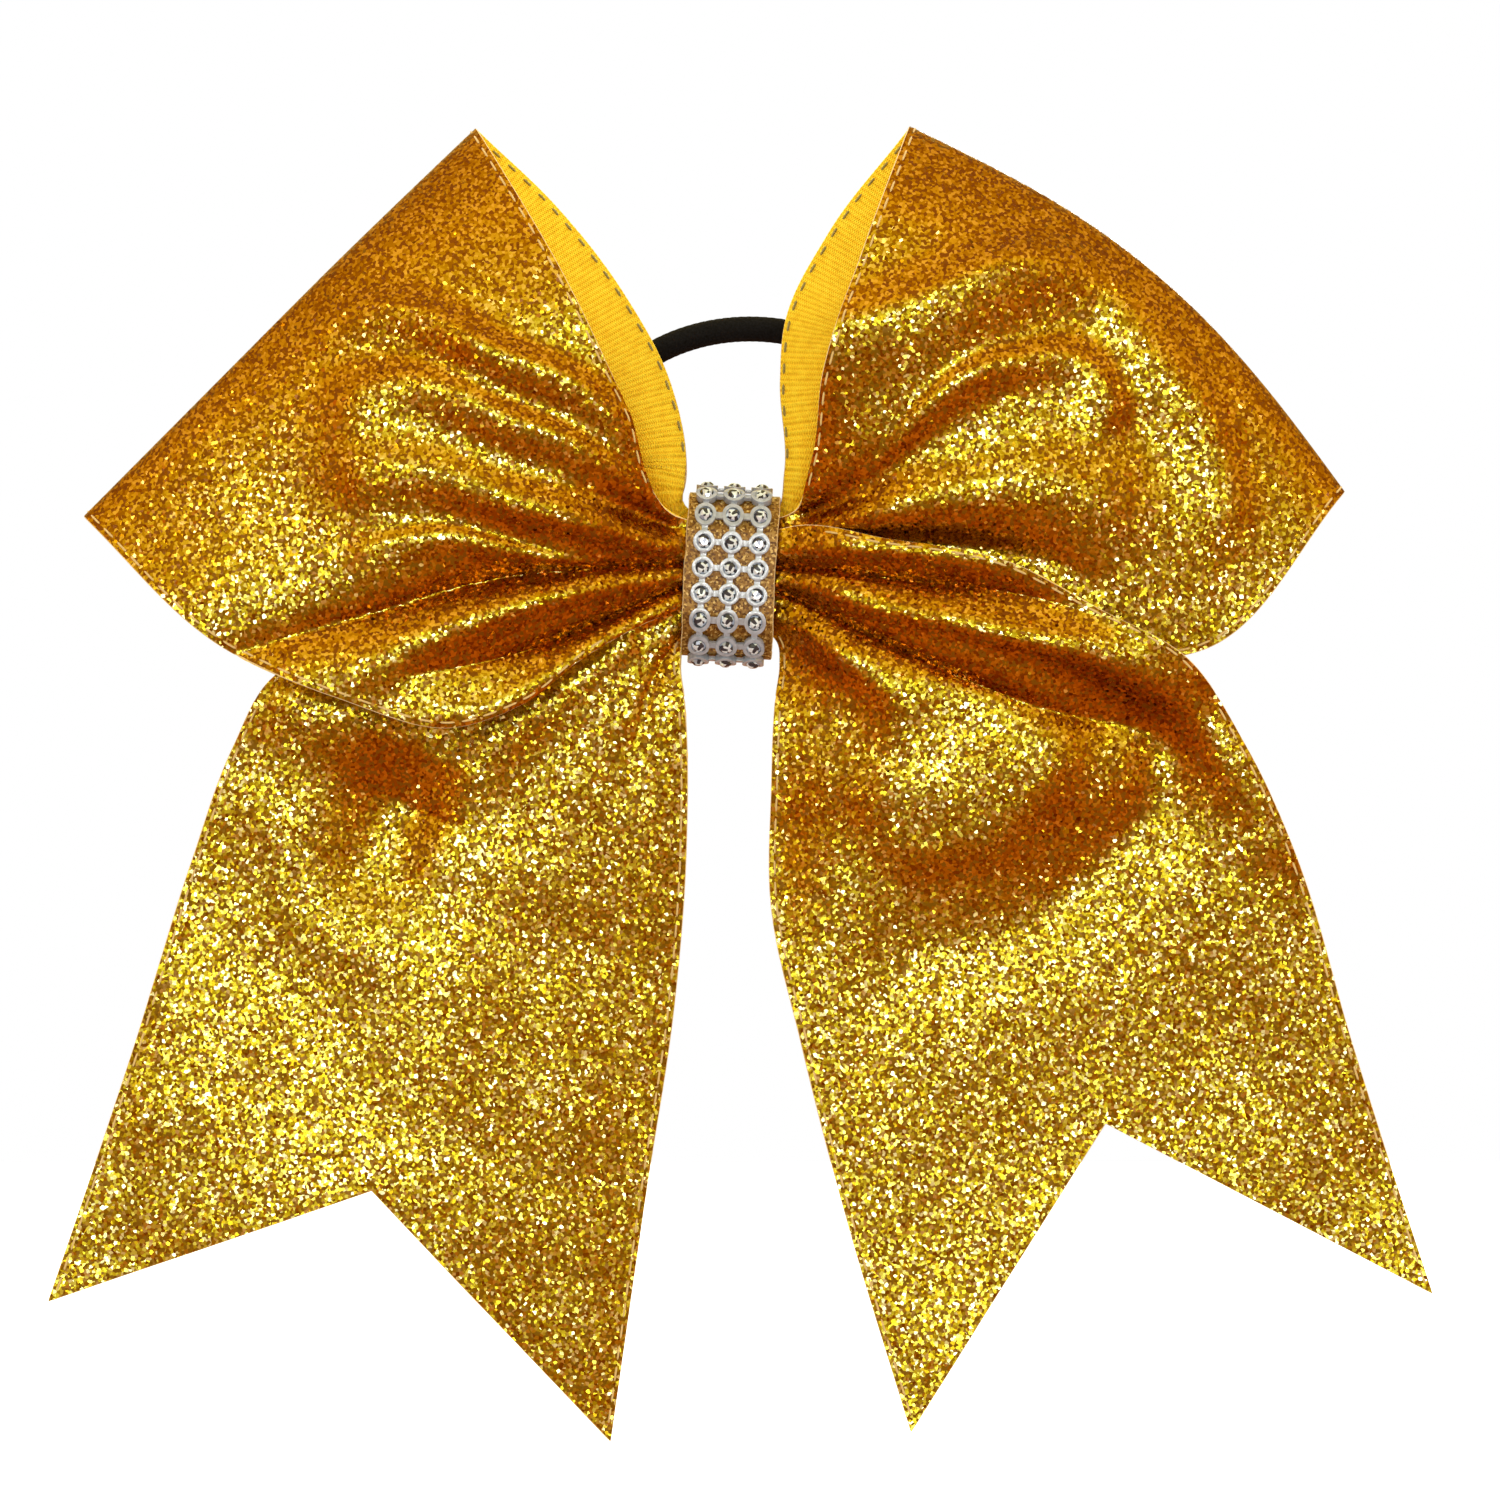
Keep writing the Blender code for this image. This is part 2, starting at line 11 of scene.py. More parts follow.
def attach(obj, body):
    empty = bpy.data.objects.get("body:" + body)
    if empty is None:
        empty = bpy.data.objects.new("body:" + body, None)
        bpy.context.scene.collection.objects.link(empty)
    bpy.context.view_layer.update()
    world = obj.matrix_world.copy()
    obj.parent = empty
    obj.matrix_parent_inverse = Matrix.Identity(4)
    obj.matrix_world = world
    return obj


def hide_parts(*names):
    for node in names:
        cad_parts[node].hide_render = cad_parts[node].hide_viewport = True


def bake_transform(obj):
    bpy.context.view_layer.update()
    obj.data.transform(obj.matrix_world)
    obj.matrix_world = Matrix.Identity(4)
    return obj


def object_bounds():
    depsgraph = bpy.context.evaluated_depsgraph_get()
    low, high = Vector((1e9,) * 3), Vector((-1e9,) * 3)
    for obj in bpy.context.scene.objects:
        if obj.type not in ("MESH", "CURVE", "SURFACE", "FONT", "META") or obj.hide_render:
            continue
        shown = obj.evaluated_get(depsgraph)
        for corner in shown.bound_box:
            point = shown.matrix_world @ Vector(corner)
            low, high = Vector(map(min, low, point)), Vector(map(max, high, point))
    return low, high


MM = 0.001

# ribbon: two plies either side of a middle surface
PLY = 0.36 * MM
PLY_INSET = 0.04 * MM
EDGE_ROUND = 0.12 * MM
RIBBON_WIDTH = 75 * MM
CREASE_HALF_GAP = 12 * MM
CREASE_BOW = 6.1 * MM
CREASE_BOW_TOWARD = (0.646, 0.763)
LOOP_SWAY = 3.5 * MM

# folds: how much steeper their steep side is, a slit's fall, and the room in front of the cloth, which grows from
# the wrap outwards
CREST_LEAN = 0.5
SLIT_FALL = 1.2
ROOM_AT_WRAP, ROOM_BESIDE, ROOM_FROM, ROOM_RUN = 0.25 * MM, 6 * MM, 6 * MM, 4 * MM
# shares of a loop's length that stay without folds at the crease, and over which they fade there and at the knot
CREASE_FLAT, CREASE_FADE, KNOT_FADE = 0.12, 0.25, 0.2
REAR_PLEATS = ((3, 0.7 * MM), (1.3, 0.5 * MM))
RIPPLE_WAVES, RIPPLE_LENGTHS = 5, (14, 34)
LOOP_RIPPLE, TAIL_RIPPLE, TAIL_CALM, TAIL_CALM_FADE = 0.5 * MM, 0.4 * MM, 10 * MM, 15 * MM
# how far from the middle the folds shared with the other layers reach, and over what width they fade out
LOOP_SHARED, TAIL_SHARED = (15 * MM, 7 * MM), (18 * MM, 8 * MM)

# where the ribbon passes the knot
FRONT_Y, MIDDLE_Y, BACK_Y = -11.9 * MM, -9.5 * MM, -7.0 * MM
SEAM_Z = -17 * MM
FOLD_Z = -24 * MM
LEFT_FOLD_Y, RIGHT_FOLD_Y = -11 * MM, -15 * MM
# half the height over which a tail would bend at its fold, and where the cloth beside the wrap would bend, out from the
# middle; nothing here bends them
FOLD_HALF = 5 * MM
BEND_FROM, LOOP_BEND_TO, TAIL_BEND_TO = 5 * MM, 6.5 * MM, 6.4 * MM
# how far below the middle each tail begins to come forward, and over what height
LEFT_OUT, RIGHT_OUT = (10 * MM, 11 * MM), (8 * MM, 13 * MM)
LEFT_HIDE, LEFT_HIDE_FROM, LEFT_HIDE_RUN = 0.6 * MM, 7.8 * MM, 12 * MM
LEFT_HANG, LEFT_HANG_RUN = 3 * MM, 110 * MM
# each rise of the right tail over the loop, forwards: its height, where it starts and its run
RIGHT_RISES = ((4.2 * MM, 5.8 * MM, 11 * MM), (3 * MM, 14 * MM, 26 * MM))
RIGHT_WAVE, RIGHT_WAVE_PACE, RIGHT_WAVE_START = 2.5 * MM, 34 * MM, 12 * MM

# outlines seen from the front, (x, z) in millimetres, each from inside the wrap outwards
LEFT_LOOP = {
    "front_top": [(-4.9, 7.2), (-8.2, 8.6), (-14.3, 22.7), (-22.5, 40.2), (-35.8, 63.1)],
    "front_low": [(-4.9, -4), (-8.5, -5.2), (-19.6, -11), (-29.4, -18.3), (-37.8, -21.2), (-54.6, -17.1),
                  (-69.9, -10.5), (-90.4, 8.1)],
    "back_top": [(-4.9, 8.4), (-6.6, 10.2), (-6.2, 15.5), (-8.5, 27.3), (-15.1, 39.9), (-24.8, 52.5), (-35.8, 63.1)],
    "back_low": [(-4.9, -5), (-9, -6.4), (-35, -10), (-65, -8), (-90.4, 8.1)],
}
RIGHT_LOOP = {
    "front_top": [(4.9, 7.4), (8.6, 8.6), (11.5, 15.8), (13, 28), (18.2, 44), (25.2, 63.1)],
    "front_low": [(4.9, -3.5), (9, -4.5), (30, -8.5), (52, -12), (65.8, -10.5), (86, 11.6)],
    "back_top": [(4.9, 7.8), (6.4, 8.8), (7.7, 14.7), (7.1, 27.3), (7.8, 35.7), (13.9, 48.3), (25.2, 63.1)],
    "back_low": [(4.9, -5), (9, -6.4), (35, -9), (62, -9), (86, 11.6)],
}
LEFT_TAIL = {
    "inner": [(-4.9, -8.2), (-6.6, -9.8), (-7, -12.5), (-6.5, -17), (-6.2, -38), (-8, -60.9), (-11.8, -86.1),
              (-16.9, -121.7)],
    "outer": [(-4.9, -0.8), (-9.8, -1.5), (-30, -6), (-52, -9), (-64.3, -14.7), (-69.5, -24), (-75.3, -39.9),
              (-83, -65.1), (-95.2, -101.5)],
    "notch": (-50.1, -86.1),
}
RIGHT_TAIL = {
    "inner": [(4.9, -7.2), (6.8, -9.4), (7.1, -12.5), (6.5, -17), (5.9, -30), (5.8, -46), (9.9, -65.1),
              (16.4, -90.3), (25.3, -119.7)],
    "outer": [(4.9, 5.8), (9.8, 6.8), (21, 4.9), (39.2, 1.4), (51.8, -5.2), (63.7, -11.9), (71.8, -24), (79.2, -39.9),
              (86.8, -65.1), (98.1, -100.4)],
    "notch": (52.5, -76.7),
}

# The folds of each front: kind, path from the knot outwards in (x, z) millimetres, how far it stands out of the
# cloth at the path's start, middle and end, and its width there at both ends, all in millimetres. A slit is a sharp
# pleat, steeper above its path where it starts, a roll is steeper below its path there, a swell has a flat top, a
# crest is steeper above its path all along, and a lean tips everything above its path back, in millimetres per
# millimetre.
LEFT_LOOP_FOLDS = (
    ("lean", [(-9.2, 15), (-15.2, 24), (-21.8, 29.4), (-31.9, 34), (-45.3, 40.2), (-55.3, 40), (-62, 37), (-70, 32)],
     (0.08, 0.33, 0.26), (4, 5)),
    ("crest", [(-9.2, 10.5), (-15.2, 21), (-21.8, 26.4), (-31.9, 30.4), (-45.3, 36.8), (-55.3, 36.4), (-62, 33.8),
               (-66.7, 29.7)], (0.7, 2.7, 0.5), (3, 6.4)),
    ("crest", [(-12, 11), (-21.8, 18), (-31.9, 21.7), (-38.6, 25), (-45.3, 26.7), (-51, 25.5)], (0.5, 2.5, 1.6),
     (2.5, 6.2)),
    ("ridge", [(-8.5, 6.6), (-14, 9), (-21.8, 12.4)], (-1.8, -1.4, -0.2), (1.5, 2.5)),
    ("roll", [(-7.1, 3.4), (-15.2, 5.5), (-25.2, 8.3), (-31.9, 10.3), (-38.6, 13), (-45.3, 14.3), (-50, 14)],
     (1.2, 2.7, 1.5), (2.4, 4.8)),
    ("crest", [(-18, 1.4), (-23.2, 1.9), (-31.9, 3.6), (-38.6, 5.2), (-45.3, 4.6), (-50, 3.5)], (0.4, 1.3, 0.6),
     (1, 3.2)),
    ("slit", [(-5, 1.9), (-7.1, 1.8), (-21.8, 0.7), (-35.2, -1.2), (-48.6, -5.2), (-62, -9), (-70, -11.5)],
     (-2.4, -3.6, -1.8), (0.6, 5)),
    ("roll", [(-7.5, 0), (-16.5, -1.8), (-24.9, -3.4), (-33.3, -5.9), (-41.8, -9), (-50.2, -13), (-58.6, -14.8)],
     (0.6, 2.1, 0.8), (1.9, 4.4)),
    ("slit", [(-5, -1.6), (-7.2, -1.8), (-10.5, -3), (-14.2, -4.7), (-20.4, -7.4), (-27.7, -10.4), (-36.1, -12.6),
              (-44, -14)], (-2.3, -3.2, -0.9), (0.6, 3.5)),
    ("roll", [(-7.2, -3.8), (-13, -6.7), (-19, -10.2), (-25, -14.5), (-33, -19), (-42, -19.8)], (0.6, 1.2, 0.7),
     (1.5, 2.6)),
)
RIGHT_LOOP_FOLDS = (
    ("lean", [(13, 36), (16.2, 37.5), (21.5, 39.5), (29.6, 42.8), (37.6, 46), (46.3, 48), (54.5, 47), (61.5, 41.5),
              (66, 33)], (0.2, 0.27, 0.1), (5, 5)),
    ("crest", [(13, 32), (16.2, 33.8), (21.5, 35.8), (29.6, 39.1), (37.6, 42.5), (46.3, 44.5), (53.7, 43.8),
               (58.4, 39.1), (63, 30.4), (67, 21), (69.8, 11)], (2.2, 3.3, 0.8), (8, 6)),
    ("crest", [(18, 12), (25.6, 21), (29.6, 25), (35, 28.4), (40.3, 29.7), (46.3, 30.4), (50.5, 28.5), (53, 24)],
     (0.2, 1.8, 1.1), (2, 4.4)),
    ("ridge", [(11, 8.6), (15, 10), (19.5, 13), (28.2, 20)], (-2.4, -1.6, -0.3), (1.8, 3)),
    ("ridge", [(14, 6.6), (20.3, 8), (31, 10.4), (43, 11.2), (50, 10)], (0.8, 2.4, 1.4), (2, 7)),
    ("ridge", [(12, 5.2), (16.2, 5.4), (33, 4.0), (46.3, 1.2), (51, -2)], (-0.5, -1.3, -0.6), (1.5, 2.5)),
)
LEFT_TAIL_FOLDS = (
    ("lean", [(-50, -86), (-43, -48), (-36, -10)], (0.2, 0.16, 0.0), (9, 6)),
    ("ridge", [(-15, -10), (-20.6, -14), (-27.1, -19.3), (-33, -24.6), (-37.1, -31), (-41.8, -38.1), (-46.5, -45.2),
               (-50.6, -51)], (0.7, 1.0, 0.3), (2, 6)),
    ("ridge", [(-42, -25), (-46, -33), (-48, -40)], (-2.0, -4.0, -2.4), (9, 8)),
    ("ridge", [(-64, -16), (-54, -19), (-44, -21), (-37, -20)], (0.8, 2.6, 1.2), (8, 8)),
    ("ridge", [(-61.5, -20), (-63.6, -31.6), (-61.2, -41.7), (-55, -50)], (0.6, 1.1, 0.3), (6, 7)),
    ("ridge", [(-80, -52), (-79, -64), (-72, -78), (-64, -90)], (0.4, 1.4, 0.8), (12, 12)),
    ("ridge", [(-60, -54), (-56, -64), (-52, -76)], (-0.3, -0.8, -0.4), (6, 6)),
    ("slit", [(-5, -6), (-9.5, -12), (-13, -22), (-15, -34)], (-0.8, -1, 0), (1.2, 4)),
)
RIGHT_TAIL_FOLDS = (
    ("roll", [(6.9, 3.4), (13.3, 3.5), (18.2, 3.8), (26, 3), (36, 1.8), (44, -0.7)], (1, 1.5, 0.4), (2.4, 2.2)),
    ("slit", [(5, 1.7), (6.6, 1.4), (13.3, 0.9), (22.4, -0.5), (31.5, -1.6), (40.6, -2.9), (52, -6)],
     (-2.3, -3, -0.3), (0.6, 3)),
    ("roll", [(6.9, -0.8), (12.1, -2), (18.2, -3.9), (24.2, -5.5), (31.5, -6.8), (37.6, -8.2), (43.7, -9.6),
              (50.3, -11.4), (56.4, -14.2), (61.9, -17.2), (66.1, -20.9), (69.8, -25.1), (72.8, -30), (76, -37)],
     (0.6, 2.2, 0.9), (2.0, 4.6)),
    ("slit", [(5, -2.1), (6.6, -2.3), (12.1, -4.6), (19.4, -8.3), (28.5, -12.6), (37.6, -16.4), (45, -19), (52, -20.5),
              (58, -21.5)], (-2.3, -3.4, -1.2), (0.6, 4.2)),
    ("ridge", [(6.9, -6.2), (10.9, -8.2), (15.1, -11.2), (20, -14.6), (25, -18.4)], (1, 1.6, 0.6), (1.4, 3.4)),
    ("ridge", [(4, -15), (3.5, -24), (4, -36), (6.5, -56)], (-4.4, -4.2, -0.8), (13, 5)),
    ("swell", [(29, -20), (40, -22.5), (36, -30), (27, -33)], (1.4, 2.2, 1.4), (9, 9)),
    ("ridge", [(24, -54), (36, -51), (46, -46), (54, -39), (60, -31), (61, -25)], (-0.8, -1.7, -1.9), (7, 5)),
    ("ridge", [(72, -42), (78, -58), (84, -76)], (0.3, 0.8, 0.4), (6, 6)),
)

# knot
KNOT_Y = -7.1 * MM
WRAP_WIDTH = 12.6 * MM
WRAP_RADIUS = 6.4 * MM
WRAP_HALF_STRAIGHT = 5.1 * MM
WRAP_TILT = math.radians(3)
WRAP_PLY = 0.4 * MM
WRAP_WOBBLE = 0.35 * MM
# how much the wrap's lap rises, and from which share of the upper bend on
LAP_RISE, LAP_FROM = 0.7 * MM, 0.6
WRAP_START_Z, WRAP_END_Z = 3.5 * MM, 4.5 * MM
ROW_PITCH, COLUMN_PITCH, FIRST_ROW = 3.6 * MM, 3.86 * MM, 15.24 * MM
ROWS, COLUMNS = 10, 3
CUP_RADIUS, CUP_BORE, CUP_BASE, CUP_HEIGHT = 1.52 * MM, 1.0 * MM, 0.12 * MM, 1.0 * MM
CUP_FLOOR, CUP_SIDES = 0.3 * MM, 24
STONE_RADIUS, STONE_HEIGHT, STONE_LIFT, STONE_TIP = 1.02 * MM, 0.72 * MM, 0.42 * MM, 0.12
RIM_ROUND = 0.2 * MM
BAR_WIDTH, BAR_LOW, BAR_HIGH = 0.86 * MM, 0.2 * MM, 0.74 * MM

# hair elastic
ELASTIC_RADIUS = 1.75 * MM
ELASTIC_X, ELASTIC_Y = 2.8 * MM, -3.65 * MM
ELASTIC_HALF_WIDTH, ELASTIC_HALF_HEIGHT = 23.1 * MM, 18.6 * MM
ELASTIC_LEAN = math.radians(12)
ELASTIC_FLAT, ELASTIC_EASE = 0.9 * MM, 0.25 * MM
BRAID_STRANDS, BRAID_PITCH, BRAID_RISE = 9, 3.2 / 3 * MM, 0.055 * MM

# each side's stitches: their distance from the ribbon's edge, their length and their thread's radius
STITCHES = {"face": (0.8 * MM, 2.2 * MM, 0.14 * MM), "back": (0.6 * MM, 1.6 * MM, 0.17 * MM)}
STITCH_PITCH = 3.0 * MM

# grosgrain
RIB_PITCH, WARP_PITCH, WRINKLE_PITCH = 0.8 * MM, 0.32 * MM, 1.5 * MM
SQUEEZED_AT, SQUEEZED_FROM, SQUEEZED_TO = (0, -8 * MM, 9 * MM), 13 * MM, 30 * MM


def smooth_step(value):
    value = np.clip(value, 0, 1)
    return value * value * (3 - 2 * value)


def curve_lengths(points):
    return np.concatenate([[0], np.cumsum(np.linalg.norm(np.diff(points, axis=0), axis=1))])


def unit(vectors):
    return vectors / np.maximum(np.linalg.norm(vectors, axis=-1, keepdims=True), 1e-12)


def sample(places, lengths, curve):
    return np.stack([np.interp(places, lengths, curve[:, k]) for k in range(3)], axis=-1)


def along(outline, t):
    """Points at the fractions t of a smooth curve through an outline's points, in metres."""
    points = np.array(outline, float) * MM
    knots = curve_lengths(points)
    slopes = np.gradient(points, knots, axis=0)
    s = np.clip(np.asarray(t, float), 0, 1) * knots[-1]
    k = np.clip(np.searchsorted(knots, s, side="right") - 1, 0, len(points) - 2)
    step = (knots[k + 1] - knots[k])[:, None]
    f = (s - knots[k])[:, None] / step
    return (
        points[k] * (2 * f**3 - 3 * f**2 + 1)
        + slopes[k] * step * (f**3 - 2 * f**2 + f)
        + points[k + 1] * (3 * f**2 - 2 * f**3)
        + slopes[k + 1] * step * (f**3 - f**2)
    )


def fold_depth(x, z, folds):
    """How far the folds bring each point out of the cloth, in metres."""
    total = np.zeros(x.shape)
    spots = np.stack([x.ravel(), z.ravel()], axis=1)
    t = np.linspace(0, 1, 70)
    for kind, path, heights, widths in folds:
        line = along(path, t)
        distance = np.linalg.norm(spots[:, None, :] - line[None, :, :], axis=2)
        nearest = distance.argmin(axis=1)
        place = t[nearest]
        away = distance[np.arange(len(spots)), nearest] / MM
        height = np.interp(place, (0, 0.5, 1), heights)
        width = np.interp(place, (0, 1), widths)
        heading = unit(np.gradient(line, axis=0))[nearest]
        offset = (spots - line[nearest]) / MM
        above = (heading[:, 0] * offset[:, 1] - heading[:, 1] * offset[:, 0]) * np.sign(path[-1][0])
        side = smooth_step(0.5 + 0.5 * above / np.maximum(away, 1e-6))
        steep = {"slit": side * (1 - place), "roll": (1 - side) * (1 - place), "crest": side}.get(kind, 0)
        share = away / width / (1 - CREST_LEAN * steep)
        if kind == "lean":
            above = np.maximum(above, 0)
            depth = -height * above * above / (above + width)
        elif kind == "slit":
            depth = height * np.exp(-SLIT_FALL * share)
        else:
            depth = height * np.exp(-(share ** (4 if kind == "swell" else 2)))
        total += (depth * MM).reshape(x.shape)
    room = ROOM_AT_WRAP + ROOM_BESIDE * smooth_step((np.abs(x) - ROOM_FROM) / ROOM_RUN)
    return np.minimum(total, room)


def ripple(x, z, size, seed):
    """A slow uneven swell, a few waves at fixed directions, between -size and size."""
    draw = np.random.default_rng(seed)
    total = np.zeros(x.shape)
    for _ in range(RIPPLE_WAVES):
        angle, phase = draw.uniform(0, math.pi), draw.uniform(0, 2 * math.pi)
        wave = draw.uniform(*RIPPLE_LENGTHS) * MM
        total += np.sin((x * math.cos(angle) + z * math.sin(angle)) * 2 * math.pi / wave + phase)
    return total * size / RIPPLE_WAVES


def shared_depth(x, z, folds, reach, fade):
    """How far the folds that every layer takes beside the knot bring it out."""
    return fold_depth(x, z, folds) * smooth_step((reach - np.abs(x)) / fade)


def grid_normals(grid):
    return unit(np.cross(np.gradient(grid, axis=0), np.gradient(grid, axis=1)))


def pleats(u, v, count, depth):
    return depth * 4 * u * np.exp(1 - 4 * u) * np.cos(2 * math.pi * count * v)


def loop_grid(outline, front_y, yields, bow, folds, shared, seed, rows=261, columns=111):
    """The middle surface of a loop, from the knot along its front, round the crease and back along its rear."""
    w = np.linspace(-1, 1, rows)
    v = np.linspace(0, 1, columns)
    grid = np.zeros((rows, columns, 3))
    for i, place in enumerate(w):
        side = "front" if place < 0 else "back"
        a = abs(place)
        u = 1 - a * a
        low, top = along(outline[side + "_low"], [u])[0], along(outline[side + "_top"], [u])[0]
        flat = low + (top - low) * v[:, None]
        flat += np.outer(np.sin(math.pi * v), bow) * u * u
        sway = math.sin(math.pi * u)
        centre = MIDDLE_Y - LOOP_SWAY * sway
        spread = CREASE_HALF_GAP * a**0.85
        if side == "front":
            gap = spread * (1 - a**4) + (MIDDLE_Y - front_y) * a**5
            depth = centre - gap + yields * (1 - v) ** 2 * sway
        else:
            gap = spread * (1 - a**3) + (BACK_Y - MIDDLE_Y) * a**5
            depth = centre + gap + sum(pleats(u, v, *each) for each in REAR_PLEATS)
        grid[i, :, ::2], grid[i, :, 1] = flat, depth
    a = np.abs(w)[:, None]
    x, z = grid[:, :, 0], grid[:, :, 2]
    in_front = (w < 0)[:, None]
    leans = [fold for fold in folds if fold[0] == "lean"]
    others = [fold for fold in folds if fold[0] != "lean"]
    grid[:, :, 1] -= fold_depth(x, z, leans)
    grid[:, :, 1] -= fold_depth(x, z, others) * in_front * smooth_step((a - CREASE_FLAT) / CREASE_FADE)
    if shared is folds:
        grid[:, :, 1] -= shared_depth(x, z, others, *LOOP_SHARED) * ~in_front
    else:
        grid[:, :, 1] -= shared_depth(x, z, shared, *LOOP_SHARED)
    grid[:, :, 1] += ripple(x, z, LOOP_RIPPLE, seed) * smooth_step((1 - a) / KNOT_FADE) * smooth_step(a / CREASE_FADE)
    return grid


def tail_grid(outline, depth_at, folds, shared, seed, columns=111, top_rows=70, low_rows=130):
    """The middle surface of a tail, and the number of its rows down to the level seam that splits it."""
    edges = {}
    for edge in ("inner", "outer"):
        fine = np.linspace(0, 1, 2001)
        heights = along(outline[edge], fine)[:, 1]
        seam = fine[np.argmax(heights < SEAM_Z)]
        t = np.append(seam * np.linspace(0, 1, top_rows + 1), seam + (1 - seam) * np.linspace(0, 1, low_rows)[1:])
        edges[edge] = along(outline[edge], t)
        edges[edge][top_rows, 1] = SEAM_Z
    inner, outer = edges["inner"], edges["outer"]
    notch = np.array(outline["notch"]) * MM
    cut_line = outer[-1] - inner[-1]
    at = (notch - inner[-1])[0] / cut_line[0]
    first = round(at * (columns - 1))
    v = np.concatenate([np.linspace(0, at, first + 1), np.linspace(at, 1, columns - first)[1:]])
    lift = notch - inner[-1] - cut_line * at
    tent = np.minimum(v / at, (1 - v) / (1 - at))
    grid = np.zeros((len(inner), columns, 3))
    for i in range(len(inner)):
        fall = max(0, (i - top_rows) / (len(inner) - 1 - top_rows))
        flat = inner[i] + (outer[i] - inner[i]) * v[:, None]
        flat += tent[:, None] * lift * fall**1.5
        grid[i, :, ::2] = flat
    x, z = grid[:, :, 0], grid[:, :, 2]
    grid[:, :, 1] = depth_at(x, z) - fold_depth(x, z, folds)
    grid[:, :, 1] -= shared_depth(x, z, shared, *TAIL_SHARED)
    grid[:, :, 1] += ripple(x, z, TAIL_RIPPLE, seed) * smooth_step((np.abs(x) - TAIL_CALM) / TAIL_CALM_FADE)
    return grid, top_rows


def left_tail_depth(x, z):
    below = smooth_step((-z - LEFT_OUT[0]) / LEFT_OUT[1])
    hidden = MIDDLE_Y - LEFT_HIDE * smooth_step((-x - LEFT_HIDE_FROM) / LEFT_HIDE_RUN)
    hang = LEFT_FOLD_Y - LEFT_HANG * smooth_step((FOLD_Z - z) / LEFT_HANG_RUN)
    return np.where(z > FOLD_Z, hidden + (LEFT_FOLD_Y - hidden) * below, hang)


def right_tail_depth(x, z):
    below = smooth_step((-z - RIGHT_OUT[0]) / RIGHT_OUT[1])
    over = FRONT_Y - sum(rise * smooth_step((x - start) / run) for rise, start, run in RIGHT_RISES)
    drop = FOLD_Z - z
    hang = RIGHT_FOLD_Y + RIGHT_WAVE * np.sin(drop / RIGHT_WAVE_PACE) * smooth_step(drop / RIGHT_WAVE_START)
    return np.where(z > FOLD_Z, over + (RIGHT_FOLD_Y - over) * below, hang)


def add_object(name, data):
    made = bpy.data.objects.new(name, data)
    bpy.context.scene.collection.objects.link(made)
    return made


def mesh_object(name, verts, faces, materials, face_materials=None):
    mesh = bpy.data.meshes.new(name)
    mesh.from_pydata([tuple(p) for p in verts], [], [tuple(f) for f in faces])
    for each in materials:
        mesh.materials.append(each)
    if face_materials is not None:
        mesh.polygons.foreach_set("material_index", face_materials)
    mesh.shade_smooth()
    mesh.update()
    return add_object(name, mesh)


def ply(name, grid, normals, near, far, materials, places, open_rows=()):
    """A closed ply between two offsets along the normals. Its rim is rounded, except at a row that meets a
    neighbouring piece. Its UVs are its points' places, in metres along and across the ribbon."""
    rows, columns = grid.shape[:2]
    n = rows * columns
    index = np.arange(n).reshape(rows, columns)
    ring = np.concatenate([index[0, :], index[1:, -1], index[-1, -2::-1], index[-2:0:-1, 0]])
    points, up = grid.reshape(-1, 3), normals.reshape(-1, 3)
    inner = grid[np.clip(np.arange(rows), 1, rows - 2)][:, np.clip(np.arange(columns), 1, columns - 2)]
    outward = unit(points - inner.reshape(-1, 3))
    bulge = np.where(np.isin(ring, index[list(open_rows)]), 0, EDGE_ROUND)[:, None]
    middle = points[ring] + up[ring] * (near + far) / 2 + outward[ring] * bulge
    verts = np.concatenate([points + up * far, points + up * near, middle])

    corners = (index[:-1, :-1], index[1:, :-1], index[1:, 1:], index[:-1, 1:])
    top = np.stack([corner.ravel() for corner in corners], axis=1)
    here = np.arange(len(ring))
    then = np.roll(here, -1)
    rim_top = np.stack([ring, ring[then], 2 * n + then, 2 * n + here], axis=1)
    rim_bottom = np.stack([2 * n + here, 2 * n + then, ring[then] + n, ring + n], axis=1)
    faces = np.concatenate([top, top[:, ::-1] + n, rim_top, rim_bottom])
    i, j = rows // 2, columns // 2
    facing = np.cross(grid[i + 1, j] - grid[i, j], grid[i, j + 1] - grid[i, j])
    if np.dot(facing, normals[i, j]) * (far - near) < 0:
        faces = faces[:, ::-1]
    on_rim = np.arange(len(faces)) >= 2 * len(top)
    made = mesh_object(name, verts, faces, materials, on_rim.astype(int))

    mesh = made.data
    at_corner = np.zeros(len(mesh.loops), int)
    mesh.loops.foreach_get("vertex_index", at_corner)
    place = places.reshape(-1, 2)
    uv = np.concatenate([place, place, place[ring]])
    mesh.uv_layers.new(name="Ribbon").data.foreach_set("uv", uv[at_corner].ravel())
    up = up * np.sign(far - near)
    point_normals = np.concatenate([up, -up, outward[ring]])
    on_face = np.arange(len(at_corner)) < 8 * len(top)
    mesh.normals_split_custom_set(np.where(on_face[:, None], point_normals[at_corner], 0).tolist())
    return made


def tube_points(path, across, up, radius, sides):
    """The points round a path, ring by ring, from the two directions and the radii that its rings have."""
    phi = np.linspace(0, 2 * math.pi, sides, endpoint=False)[None, :, None]
    rings = path[:, None, :] + (across[:, None, :] * np.cos(phi) + up[:, None, :] * np.sin(phi)) * radius[:, :, None]
    return rings.reshape(-1, 3)


